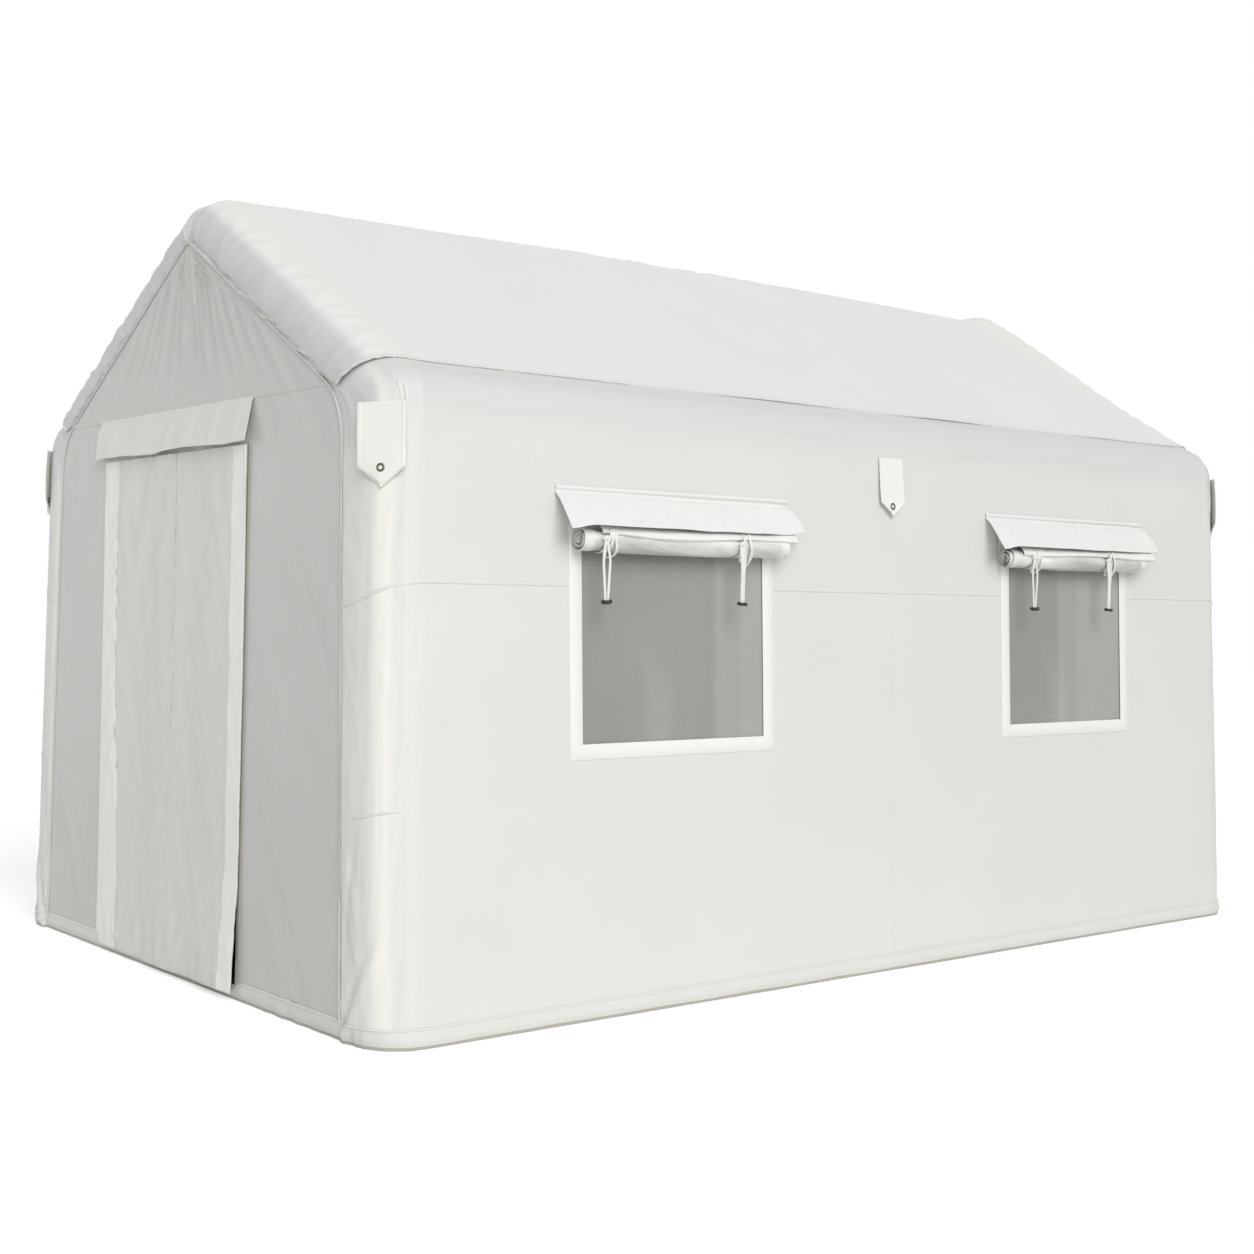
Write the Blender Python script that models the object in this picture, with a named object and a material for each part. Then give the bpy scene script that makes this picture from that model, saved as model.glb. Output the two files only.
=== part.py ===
"""Frame tent held up by air: three inflated arches and their beams inside a welded fabric cover.

Metres, +Z up. The origin is on the ground at the middle of the floor, the door faces -Y.
Lengthways places are worked out for upright gables and then drawn in a little with height,
by tapered(), so that the gable walls lean inwards as the side walls do.
"""

import math

import bmesh
import bpy
from mathutils import Matrix, Vector

# The cover's overall shape, to the outside of the fabric
half_width = 1.350
half_length = 2.100
eave_height = 1.917
peak_height = 2.668
side_lean_share = 0.034
gable_lean_share = 0.011

# Fabric, and the clearance that touching pieces keep
skin_thickness = 0.0012
touch_gap = 0.0003
floor_thickness = 0.004
cut_overrun = 0.020

# Inflated tubes
arch_radius = 0.140
arch_wall = 0.0012
arch_sides = 20
elbow_inner_bend = 0.030
beam_radius = 0.090
beam_wall = 0.0010
beam_sides = 12
beam_set_in = 0.005
port_radius = 0.030

# How the cover bends over the eaves, the ridge and the gable ends
eave_fold_radius = 0.120
ridge_fold_radius = 0.120
fold_steps = 3
seam_flat_wall = 0.094
seam_flat_roof = 0.035
seam_eave_radius = 0.230
seam_ridge_radius = 0.050

# Doorway, its curtain and the rain flap over it
door_left = -0.645
door_right = 0.475
door_bottom = 0.020
door_lap = 0.025
door_hinge_gap = 0.0010
door_stand_top = 0.015
door_stand_bottom = 0.037
door_fold_depth = 0.005
door_fold_count = 3
header_left = -0.685
header_right = 0.495
header_drop = 0.142
header_stand_left = 0.006
header_stand_right = 0.030
header_wave = 0.004
header_wave_count = 2
header_clearance = 0.005

# Windows, two in each side wall; a pane's edges are places to either side of its window's middle
window_from_end = 1.100
front_pane_edges = (-0.387, 0.374)
rear_pane_edges = (-0.354, 0.336)
pane_height = 0.702
pane_under_eave = 0.372
screen_lap = 0.025
screen_thickness = 0.0006

# Rain hood over each window, sewn on above the pane
hood_width = 0.970
hood_rise = 0.090
hood_drop = 0.125
hood_stand = 0.085
hood_skew = 0.015
hood_crown = 0.008

# Rolled-up clear blind under each hood, its middle hanging in front of the pane's top
roll_width = 0.840
roll_hang = 0.075
roll_radius = 0.040
roll_pitch = 0.009
roll_turns = 3
roll_turn_points = 12
roll_film = 0.0010
roll_sag = 0.006
leader_drop = 0.015

# Ties that hold the blind up, with a toggle on the tails of each
front_tie_places = (-0.350, 0.210)
rear_tie_places = (-0.298, 0.158)
tie_width = 0.012
tie_thickness = 0.0020
tie_length = 0.200
tie_start = 0.012
knot_width = 0.022
knot_depth = 0.010
knot_height = 0.018
toggle_radius = 0.017
toggle_thickness = 0.010
toggle_round = 0.003
toggle_recess = 0.003
toggle_play = 0.0012

# Guy tabs with a metal eyelet, three along each side
corner_tab_width = 0.150
corner_tab_length = 0.245
corner_tab_shoulder = 0.185
corner_tab_under_eave = 0.072
corner_tab_eyelet_rise = 0.055
corner_tab_steps_round = 3
middle_tab_width = 0.120
middle_tab_length = 0.206
middle_tab_shoulder = 0.158
middle_tab_under_eave = 0.109
middle_tab_eyelet_rise = 0.034
tab_thickness = 0.0024
tab_tilt_degrees = 2.5
eyelet_bore = 0.0060
eyelet_barrel = 0.0085
eyelet_flange = 0.0130
eyelet_lip = 0.0008

# Inflation valve and relief valve, low on the rear arch's legs
valve_height = 0.300
valve_flange = 0.021
valve_flange_thickness = 0.003
valve_neck = 0.017
valve_length = 0.020
valve_bore = 0.011
valve_membrane = 0.008
cap_clearance = 0.0015
cap_wall = 0.003
cap_skirt = 0.014
relief_neck = 0.012
relief_head = 0.017
relief_length = 0.020
turned_sides = 16
small_sides = 12

# How finely the soft sheets are divided, and which edges stay sharp
door_columns = 12
door_rows = 4
header_columns = 8
hood_row_shares = (0, 0.25, 0.5, 0.75, 1)
hood_column_shares = (-1, -0.5, 0, 0.5, 1)
roll_station_shares = (-1, 0, 1)
smooth_limit_degrees = 35

# Sizes that follow from the ones above
header_top = eave_height
window_offset = half_length - window_from_end
pane_top = eave_height - pane_under_eave
pane_bottom = pane_top - pane_height
hood_top = pane_top + hood_rise
roll_height = pane_top - roll_hang
corner_tab_top = eave_height - corner_tab_under_eave
middle_tab_top = eave_height - middle_tab_under_eave
wrap_radius = arch_radius + touch_gap + skin_thickness
tube_inset = wrap_radius
elbow_bend = arch_radius + elbow_inner_bend
seam_wall_inset = wrap_radius + seam_flat_wall
seam_roof_inset = wrap_radius + seam_flat_roof
foot_height = floor_thickness + touch_gap
corner_steps = arch_sides // 4
half_share = 0.5
quarter_turn = math.radians(90)

wall_up = Vector((-side_lean_share, 1)).normalized()
wall_out = Vector((1, side_lean_share)).normalized()
eave_reach = half_width - side_lean_share * eave_height
roof_rise_share = (peak_height - eave_height) / eave_reach
roof_in = Vector((-1, roof_rise_share)).normalized()
roof_out = Vector((roof_rise_share, 1)).normalized()
roof_down = Vector((-1, -roof_rise_share)).normalized()


def tapered(x, y, z):
    """A point of the upright shape, drawn in lengthways with height as the gables lean."""
    return Vector((x, y * (1 - gable_lean_share * z / half_length), z))


def mirrored(point):
    return Vector((-point.x, point.y))


def meet(point, heading, other, other_heading):
    """Where two straight lines of the cross-section meet."""
    gap = other - point
    reach = gap.cross(other_heading) / heading.cross(other_heading)
    return point + heading * reach


def turn_between(before, after):
    return math.atan2(before.cross(after), before.dot(after))


def fold_reach(before, after, radius):
    """How far from the sharp corner a bend of this radius starts and ends."""
    return radius * math.tan(turn_between(before, after) * half_share)


def fold_points(corner, before, after, radius):
    """Corner points of a faceted bend, whose facets touch the bend's true arc from outside."""
    step = turn_between(before, after) / fold_steps
    inward = Vector((-before.y, before.x))
    centre = corner - before * fold_reach(before, after, radius) + inward * radius
    spoke = -inward * (radius / math.cos(step * half_share))
    return [centre + Matrix.Rotation((i + half_share) * step, 2) @ spoke for i in range(fold_steps)]


def house_outline(wall_inset, roof_inset, eave_radius, ridge_radius, foot=foot_height):
    """Right half of the cross-section, set in from the cover's planes: foot, eave, seam and ridge."""
    wall_point = Vector((half_width, 0)) - wall_out * wall_inset
    roof_point = Vector((0, peak_height)) - roof_out * roof_inset
    eave = meet(wall_point, wall_up, roof_point, roof_in)
    ridge = meet(roof_point, roof_in, Vector((0, 0)), Vector((0, 1)))
    foot_point = wall_point + wall_up * ((foot - wall_point.y) / wall_up.y)
    eave_points = fold_points(eave, wall_up, roof_in, eave_radius)
    seam = eave + roof_in * fold_reach(wall_up, roof_in, eave_radius)
    ridge_points = fold_points(ridge, roof_in, roof_down, ridge_radius)
    return foot_point, eave_points, seam, ridge_points


def end_stations(depth):
    """Cross-sections from the gable seam round the corner to the straight run, at a depth in the fabric.

    Each is the wall inset, the roof inset, the two bend radii and the distance in from the gable plane.
    """
    stations = [(seam_wall_inset, seam_roof_inset, seam_eave_radius, seam_ridge_radius, depth)]
    step = quarter_turn / corner_steps
    reach = (wrap_radius - depth) / math.cos(step * half_share)
    for number in reversed(range(corner_steps)):
        angle = (number + half_share) * step
        inset = wrap_radius - reach * math.cos(angle)
        set_in = wrap_radius - reach * math.sin(angle)
        tighter = (seam_ridge_radius - ridge_fold_radius) * (1 - math.cos(angle))
        eave_radius = eave_fold_radius - depth * math.cos(angle)
        ridge_radius = ridge_fold_radius - depth * math.cos(angle) + tighter
        stations.append((inset, inset, eave_radius, ridge_radius, set_in))
    return stations


def length_stations(depth):
    """All cross-sections of the cover from the front seam to the rear seam."""
    front = [(*station[:-1], station[-1] - half_length) for station in end_stations(depth)]
    rear = [(*station[:-1], half_length - station[-1]) for station in end_stations(depth)]
    return front + rear[::-1]


def arch_path(foot):
    """Centre line of an arch, from the right foot over the ridge to the left foot."""
    outline = house_outline(tube_inset, tube_inset, elbow_bend, elbow_bend, foot)
    foot_point, eave_points, _, ridge_points = outline
    right = [foot_point, *eave_points]
    return right + ridge_points + [mirrored(point) for point in reversed(right)]


def tube_rings(path, radius, centre_y):
    """Rings of points round an arch's centre line, mitred where it turns and level at the feet."""
    normals = []
    for start, end in zip(path, path[1:]):
        heading = (end - start).normalized()
        normals.append(Vector((heading.y, -heading.x)))
    reach = radius / math.cos(math.pi / arch_sides)
    rings = []
    for number, point in enumerate(path):
        before = normals[max(number - 1, 0)]
        after = normals[min(number, len(normals) - 1)]
        if number in (0, len(path) - 1):
            across = Vector((math.copysign(1, before.x), 0))
        else:
            across = (before + after).normalized()
        across = across / across.dot(after)
        ring = []
        for side in range(arch_sides):
            angle = (side + half_share) * math.tau / arch_sides
            place = point + across * reach * math.cos(angle)
            ring.append(tapered(place.x, centre_y + reach * math.sin(angle), place.y))
        rings.append(ring)
    return rings


def add_tube(shape, rings, inside_out=False):
    """A capped tube through the rings, added to a shape; an inside-out one is the hollow of a tube."""
    grid = [[shape.verts.new(point) for point in ring] for ring in rings]
    faces = [shape.faces.new(grid[0]), shape.faces.new(grid[-1])]
    for low, high in zip(grid, grid[1:]):
        for i, vertex in enumerate(low):
            faces.append(shape.faces.new((low[i - 1], vertex, high[i], high[i - 1])))
    bmesh.ops.recalc_face_normals(shape, faces=faces)
    if inside_out:
        bmesh.ops.reverse_faces(shape, faces=faces)


def border(grid):
    """The outer points of a grid, in order round it."""
    right = [row[-1] for row in grid[:-1]]
    left = [row[0] for row in grid[:0:-1]]
    return grid[0][:-1] + right + grid[-1][:0:-1] + left


def sheet_solid(front, back):
    """One closed body between two like grids of points, as a sheet has two sides and an edge."""
    shape = bmesh.new()
    grids = [[[shape.verts.new(point) for point in row] for row in rows] for rows in (front, back)]
    for grid in grids:
        for low, high in zip(grid, grid[1:]):
            for i in range(1, len(low)):
                shape.faces.new((low[i - 1], low[i], high[i], high[i - 1]))
    near, far = (border(grid) for grid in grids)
    for i, vertex in enumerate(near):
        shape.faces.new((near[i - 1], vertex, far[i], far[i - 1]))
    bmesh.ops.recalc_face_normals(shape, faces=shape.faces)
    return shape


def plate_solid(low, high):
    """One closed body between two like outlines."""
    shape = bmesh.new()
    low_loop = [shape.verts.new(point) for point in low]
    high_loop = [shape.verts.new(point) for point in high]
    shape.faces.new(low_loop)
    shape.faces.new(high_loop)
    for i, vertex in enumerate(low_loop):
        shape.faces.new((low_loop[i - 1], vertex, high_loop[i], high_loop[i - 1]))
    bmesh.ops.recalc_face_normals(shape, faces=shape.faces)
    return shape


def turned_solid(profile, sides):
    """A body turned about local Z from (radius, height) points, open to the axis where radius is 0."""
    shape = bmesh.new()
    rings = []
    for radius, height in profile:
        if radius == 0:
            rings.append([shape.verts.new((0, 0, height))] * sides)
            continue
        ring = []
        for side in range(sides):
            angle = side * math.tau / sides
            spot = (radius * math.cos(angle), radius * math.sin(angle), height)
            ring.append(shape.verts.new(spot))
        rings.append(ring)
    if profile[0][0] > 0:
        rings.append(rings[0])
    for low, high in zip(rings, rings[1:]):
        for i in range(sides):
            corners = dict.fromkeys((low[i - 1], low[i], high[i], high[i - 1]))
            shape.faces.new(list(corners))
    bmesh.ops.recalc_face_normals(shape, faces=shape.faces)
    return shape


def box_solid(low, high):
    """A box between two opposite corners."""
    size = Vector(high) - Vector(low)
    centre = (Vector(high) + Vector(low)) * half_share
    place = Matrix.Translation(centre) @ Matrix.Diagonal((*size, 1))
    shape = bmesh.new()
    bmesh.ops.create_cube(shape, size=1, matrix=place)
    return shape


def rod_solid(centre, axis, radius, start, end, sides=small_sides):
    """A round rod through a centre, its flats at the radius, from start to end along the axis."""
    place = Matrix.Translation(Vector(centre) + Vector(axis) * ((start + end) * half_share))
    turn = Vector((0, 0, 1)).rotation_difference(Vector(axis)).to_matrix().to_4x4()
    reach = radius / math.cos(math.pi / sides)
    shape = bmesh.new()
    bmesh.ops.create_cone(
        shape, cap_ends=True, segments=sides, radius1=reach, radius2=reach,
        depth=abs(end - start), matrix=place @ turn,
    )
    return shape


def joined(shapes):
    """Several shapes as one mesh of separate bodies, for a cutter."""
    whole = bmesh.new()
    for shape in shapes:
        spare = bpy.data.meshes.new("spare")
        shape.to_mesh(spare)
        shape.free()
        whole.from_mesh(spare)
        bpy.data.meshes.remove(spare)
    return whole


def finish(name, colour, roughness, metallic=0):
    """A plain material with the colour and gloss of one of the tent's finishes."""
    material = bpy.data.materials.new(name)
    material.use_nodes = True
    shader = material.node_tree.nodes["Principled BSDF"]
    shader.inputs["Base Color"].default_value = (*colour, 1)
    shader.inputs["Roughness"].default_value = roughness
    shader.inputs["Metallic"].default_value = metallic
    material.diffuse_color = (*colour, 1)
    return material


def place(name, shape, material, parent=None, location=(0, 0, 0), rotation=(0, 0, 0), smooth_degrees=0):
    """Turns a shape into a named object, under its frame and at its place there."""
    mesh = bpy.data.meshes.new(name)
    shape.to_mesh(mesh)
    shape.free()
    mesh.materials.append(material)
    if smooth_degrees:
        mesh.shade_smooth()
        mesh.set_sharp_from_angle(angle=math.radians(smooth_degrees))
    item = bpy.data.objects.new(name, mesh)
    bpy.context.scene.collection.objects.link(item)
    item.parent = parent
    item.location = location
    item.rotation_euler = rotation
    return item


def cut(target, shape, parent=None, location=(0, 0, 0), rotation=(0, 0, 0)):
    """Cuts a shape out of an object with a cutter that no view shows."""
    cutter = place(target.name + "_cutter", shape, target.data.materials[0], parent, location, rotation)
    cutter.hide_render = True
    cutter.display_type = "WIRE"
    modifier = target.modifiers.new(cutter.name, "BOOLEAN")
    modifier.operation = "DIFFERENCE"
    modifier.solver = "EXACT"
    modifier.object = cutter


def wall_frame(name, origin, across, up):
    """An empty whose X runs along a wall to the right, Y up it and Z out of it, seen from outside."""
    up = Vector(up).normalized()
    out = Vector(across).cross(up).normalized()
    across = up.cross(out)
    frame = bpy.data.objects.new(name, None)
    frame.matrix_world = Matrix.Translation(origin) @ Matrix((across, up, out)).transposed().to_4x4()
    bpy.context.scene.collection.objects.link(frame)
    return frame


def make_arches(material):
    """Three hollow arches, each with air ports where the beams join it."""
    end_y = half_length - tube_inset
    ridge_centre, eave_centre = beam_centres()
    spots = [ridge_centre, eave_centre, mirrored(eave_centre)]
    for name, centre_y, toward in (
        ("front_air_arch", -end_y, (0, 1)),
        ("middle_air_arch", 0, (-1, 1)),
        ("rear_air_arch", end_y, (-1, 0)),
    ):
        shape = bmesh.new()
        add_tube(shape, tube_rings(arch_path(foot_height), arch_radius, centre_y))
        hollow = tube_rings(arch_path(foot_height + arch_wall), arch_radius - arch_wall, centre_y)
        add_tube(shape, hollow, inside_out=True)
        arch = place(name, shape, material, smooth_degrees=smooth_limit_degrees)
        ports = []
        reach = arch_radius + cut_overrun
        for spot in spots:
            centre = tapered(spot.x, centre_y, spot.y)
            ports.append(rod_solid(centre, (0, 1, 0), port_radius, toward[0] * reach, toward[1] * reach))
        cut(arch, joined(ports))
        if name == "rear_air_arch":
            valve_ports = []
            for side in (-1, 1):
                centre = valve_spot(side)
                valve_ports.append(rod_solid(centre, (0, -1, 0), valve_bore, -cut_overrun, cut_overrun))
            cut(arch, joined(valve_ports))


def beam_centres():
    """Cross-section places of the ridge beam and of the right eave beam, inside the arches' outline."""
    path = arch_path(foot_height)
    eave_elbow = path[1 + fold_steps // 2]
    ridge_elbow = path[1 + fold_steps + fold_steps // 2]
    shift = arch_radius - beam_radius - beam_set_in
    outward = (wall_out + roof_out).normalized()
    return ridge_elbow + Vector((0, shift)), eave_elbow + outward * shift


def make_beams(material):
    """Hollow beams between the arches, each end cut to sit against the arch's round side."""
    end_y = half_length - tube_inset
    ridge_centre, eave_centre = beam_centres()
    spans = {"front": (-end_y, 0), "rear": (0, end_y)}
    spots = {
        "ridge_beam": ridge_centre,
        "eave_beam_right": eave_centre,
        "eave_beam_left": mirrored(eave_centre),
    }
    for where, (start, end) in spans.items():
        for title, spot in spots.items():
            rings = []
            for radius, y in ((beam_radius, start), (beam_radius, end), (beam_radius - beam_wall, end),
                              (beam_radius - beam_wall, start)):
                angles = [side * math.tau / beam_sides for side in range(beam_sides)]
                rings.append([
                    tapered(spot.x + radius * math.cos(angle), y, spot.y + radius * math.sin(angle))
                    for angle in angles
                ])
            shape = bmesh.new()
            grid = [[shape.verts.new(point) for point in ring] for ring in rings]
            for number, ring in enumerate(grid):
                before = grid[number - 1]
                for i in range(beam_sides):
                    shape.faces.new((before[i - 1], before[i], ring[i], ring[i - 1]))
            bmesh.ops.recalc_face_normals(shape, faces=shape.faces)
            name = title.replace("beam", f"beam_{where}")
            beam = place(name, shape, material, smooth_degrees=smooth_limit_degrees)
            seats = []
            for centre_y in (start, end):
                seat = bmesh.new()
                add_tube(seat, tube_rings(arch_path(foot_height), arch_radius + touch_gap, centre_y))
                seats.append(seat)
            cut(beam, joined(seats))


def make_cover(material):
    """The roof and the two side walls, each one sheet that wraps round the end arches to the gable seams."""
    surfaces = []
    for depth in (0, skin_thickness):
        roof_rows, side_rows = [], []
        for wall_inset, roof_inset, eave_radius, ridge_radius, y in length_stations(depth):
            foot, eave, seam, ridge = house_outline(wall_inset, roof_inset, eave_radius, ridge_radius)
            lap = seam + roof_in * touch_gap
            roof = [lap, *ridge, mirrored(lap)]
            roof_rows.append([tapered(point.x, y, point.y) for point in roof])
            side_rows.append([tapered(point.x, y, point.y) for point in (foot, *eave, seam)])
        surfaces.append((roof_rows, side_rows))
    (roof_outer, side_outer), (roof_inner, side_inner) = surfaces
    roof = sheet_solid(roof_outer, roof_inner)
    place("roof_cover", roof, material, smooth_degrees=smooth_limit_degrees)
    walls = {}
    for side, sign in (("right", 1), ("left", -1)):
        rows = [
            [[Vector((sign * point.x, point.y, point.z)) for point in row] for row in surface]
            for surface in (side_outer, side_inner)
        ]
        wall = sheet_solid(*rows)
        walls[side] = place(f"side_wall_{side}", wall, material, smooth_degrees=smooth_limit_degrees)
    return walls


def gable_outline():
    """Outline of a gable wall, a touching gap inside the seam that it is welded to."""
    foot, eave, _, ridge = house_outline(
        seam_wall_inset + touch_gap, seam_roof_inset + touch_gap,
        seam_eave_radius - touch_gap, seam_ridge_radius - touch_gap,
    )
    right = [foot, *eave]
    return right + ridge + [mirrored(point) for point in reversed(right)]


def make_gables(material):
    """The flat wall at each end, from the floor up into the peak."""
    walls = {}
    for name, sign in (("front_wall", -1), ("rear_wall", 1)):
        sides = []
        for depth in (0, skin_thickness):
            y = sign * (half_length - depth)
            sides.append([tapered(point.x, y, point.y) for point in gable_outline()])
        walls[name] = place(name, plate_solid(*sides), material)
    return walls


def make_floor(material):
    """The ground sheet under everything, to the outline of the cover's foot."""
    corner = [(half_width - station[0], station[-1]) for station in end_stations(0)[1:]]
    outline = [(x, set_in - half_length) for x, set_in in corner]
    outline += [(x, -y) for x, y in reversed(outline)]
    outline += [(-x, y) for x, y in reversed(outline)]
    levels = [[Vector((x, y, height)) for x, y in outline] for height in (0, floor_thickness)]
    place("ground_sheet", plate_solid(*levels), material)


def make_door(frame, wall, material):
    """The doorway, the curtain that closes it and the rain flap over its top."""
    curtain_top = header_top - header_drop - header_wave - header_clearance
    hole = box_solid(
        (door_left + door_lap, door_bottom + door_lap, -cut_overrun),
        (door_right - door_lap, curtain_top - door_lap, cut_overrun),
    )
    cut(wall, hole, frame)
    width = door_right - door_left
    height = curtain_top - door_bottom
    columns = [number / door_columns for number in range(door_columns + 1)]
    rows = [number / door_rows for number in range(door_rows + 1)]

    def curtain_surface(depth):
        grid = []
        for up_share in rows:
            row = []
            stand = door_stand_bottom + (door_stand_top - door_stand_bottom) * up_share
            for across_share in columns:
                ripple = 1 - math.cos(math.tau * door_fold_count * across_share)
                out = stand * across_share + door_fold_depth * half_share * ripple
                row.append(Vector((width * across_share, height * up_share, out + depth)))
            grid.append(row)
        return grid

    place(
        "door_curtain", sheet_solid(curtain_surface(skin_thickness), curtain_surface(0)), material,
        frame, (door_left, door_bottom, door_hinge_gap), smooth_degrees=smooth_limit_degrees,
    )
    header_width = header_right - header_left
    spread = [number / header_columns for number in range(header_columns + 1)]

    def header_surface(depth):
        grid = []
        for down_share in (0, half_share, 1):
            row = []
            for across_share in spread:
                wave = header_wave * math.sin(math.tau * header_wave_count * across_share) * down_share
                stand = header_stand_left + (header_stand_right - header_stand_left) * across_share
                out = stand * down_share + depth
                row.append(Vector((header_width * across_share, wave - header_drop * down_share, out)))
            grid.append(row)
        return grid

    place(
        "door_header_flap", sheet_solid(header_surface(skin_thickness), header_surface(0)), material,
        frame, (header_left, header_top, touch_gap), smooth_degrees=smooth_limit_degrees,
    )


def roll_path():
    """Middle line of the rolled blind in (out, up) places: down the wall, then wound inwards."""
    back = touch_gap + roll_film * half_share
    centre = Vector((back + roll_radius, 0))
    path = [Vector((back, hood_top - leader_drop - roll_height))]
    for step in range(roll_turns * roll_turn_points + 1):
        turned = step / roll_turn_points
        radius = roll_radius - roll_pitch * turned
        angle = math.pi + math.tau * turned
        path.append(centre + radius * Vector((math.cos(angle), math.sin(angle))))
    return path


def roll_solid():
    """The wound blind as one sheet, sagging a little at the middle of its width."""
    path = roll_path()
    near, far = [], []
    for number, point in enumerate(path):
        before = path[max(number - 1, 0)]
        after = path[min(number + 1, len(path) - 1)]
        heading = (after - before).normalized()
        side = Vector((-heading.y, heading.x)) * (roll_film * half_share)
        for rows, spot in ((near, point + side), (far, point - side)):
            row = []
            for share in roll_station_shares:
                sag = roll_sag * (1 - abs(share)) * min(number, 1)
                row.append(Vector((share * roll_width * half_share, spot.y - sag, spot.x)))
            rows.append(row)
    return sheet_solid(near, far)


def hood_surface(depth):
    """The hood from its sewn top edge outwards and down, fuller in the middle and skewed at the ends."""
    grid = []
    for down_share in hood_row_shares:
        row = []
        for share in hood_column_shares:
            crown = hood_crown * math.sin(math.pi * down_share)
            out = (hood_stand - hood_skew * share) * down_share + crown + depth
            row.append(Vector((share * hood_width * half_share, -hood_drop * down_share, out)))
        grid.append(row)
    return grid


def tie_solid():
    """A knot at the top and the flat tails below it, with a flat back against the roll."""
    stations = (
        (0, tie_width, tie_thickness),
        (knot_height * half_share, knot_width, knot_depth),
        (knot_height, tie_width, tie_thickness),
        (tie_length, tie_width, tie_thickness),
    )
    front, back = [], []
    for drop, width, depth in stations:
        edge = width * half_share
        front.append([Vector((-edge, -drop, depth)), Vector((edge, -drop, depth))])
        back.append([Vector((-edge, -drop, 0)), Vector((edge, -drop, 0))])
    return sheet_solid(front, back)


def toggle_solid():
    """A round black button with softened rims and a recess that the tails end in."""
    high = toggle_thickness * half_share
    inner = toggle_radius - toggle_round
    recess = tie_width * half_share + toggle_play
    profile = (
        (0, -high), (inner, -high), (toggle_radius, -high + toggle_round),
        (toggle_radius, high - toggle_round), (inner, high), (recess, high),
        (recess, high - toggle_recess), (0, high - toggle_recess),
    )
    return turned_solid(profile, turned_sides)


def make_window(frame, centre, title, pane_edges, tie_places, materials):
    """Screen, hood, rolled blind and its two ties, at a place along a side wall."""
    screen_back = -(skin_thickness + touch_gap + screen_thickness)
    left, right = pane_edges
    screen = box_solid(
        (centre + left - screen_lap, pane_bottom - screen_lap, screen_back),
        (centre + right + screen_lap, pane_top + screen_lap, screen_back + screen_thickness),
    )
    place(f"window_screen_{title}", screen, materials["screen"], frame)
    place(
        f"window_hood_{title}", sheet_solid(hood_surface(skin_thickness), hood_surface(0)),
        materials["cover"], frame, (centre, hood_top, touch_gap), smooth_degrees=smooth_limit_degrees,
    )
    place(
        f"blind_roll_{title}", roll_solid(), materials["film"], frame, (centre, roll_height, 0),
        smooth_degrees=smooth_limit_degrees,
    )
    roll_front = touch_gap + roll_film + roll_radius + roll_radius - roll_pitch * half_share + touch_gap
    for number, across in enumerate(tie_places, 1):
        tie = place(
            f"tie_tape_{title}_{number}", tie_solid(), materials["tape"], frame,
            (centre + across, roll_height + tie_start, roll_front),
        )
        toggle_drop = tie_length + toggle_thickness * half_share - toggle_recess + touch_gap
        place(
            f"tie_toggle_{title}_{number}", toggle_solid(), materials["toggle"], tie,
            (0, -toggle_drop, tie_thickness * half_share), (-quarter_turn, 0, 0), smooth_limit_degrees,
        )


def make_tab(name, frame, top, width, length, shoulder, rise, materials):
    """A flat five-sided tab sewn on along its top edge, with a metal eyelet near its point."""
    half = width * half_share
    outline = ((-half, 0), (-half, -shoulder), (0, -length), (half, -shoulder), (half, 0))
    faces = [[Vector((x, y, depth)) for x, y in outline] for depth in (0, tab_thickness)]
    tilt = (-math.radians(tab_tilt_degrees), 0, 0)
    tab = place(
        f"guy_tab_{name}", plate_solid(*faces), materials["cover"], frame, (0, top, touch_gap), tilt,
    )
    spot = (0, rise - length, tab_thickness * half_share)
    hole = rod_solid(spot, (0, 0, 1), eyelet_barrel + touch_gap, -cut_overrun, cut_overrun)
    cut(tab, hole, tab)
    inner = tab_thickness * half_share + touch_gap
    outer = inner + eyelet_lip
    profile = (
        (eyelet_bore, -outer), (eyelet_flange, -outer), (eyelet_flange, -inner), (eyelet_barrel, -inner),
        (eyelet_barrel, inner), (eyelet_flange, inner), (eyelet_flange, outer), (eyelet_bore, outer),
    )
    place(
        f"tab_eyelet_{name}", turned_solid(profile, small_sides), materials["metal"], tab, spot,
        smooth_degrees=smooth_limit_degrees,
    )


def corner_spot(side, end, angle, height):
    """A point on a rounded corner of the cover, at an angle round from the side wall to the gable."""
    x = half_width - side_lean_share * height - wrap_radius * (1 - math.cos(angle))
    y = half_length - wrap_radius * (1 - math.sin(angle))
    return tapered(side * x, end * y, height)


def corner_frame(name, side, end):
    """A frame on a facet of a rounded corner of the cover, facing out between its side and its gable."""
    step = quarter_turn / corner_steps
    angle = corner_tab_steps_round * step
    foot = corner_spot(side, end, angle, 0)
    lean = corner_spot(side, end, angle, corner_tab_top) - foot
    near = corner_spot(side, end, angle - step * half_share, corner_tab_top)
    far = corner_spot(side, end, angle + step * half_share, corner_tab_top)
    return wall_frame(name, foot, (far - near) * side * end, lean)


def valve_spot(side):
    """Where a valve sits on the front of a leg of the rear arch."""
    leg = Vector((half_width, 0)) - wall_out * tube_inset
    leg = leg + wall_up * (valve_height / wall_up.y)
    return tapered(side * leg.x, half_length - tube_inset - arch_radius, leg.y)


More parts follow.
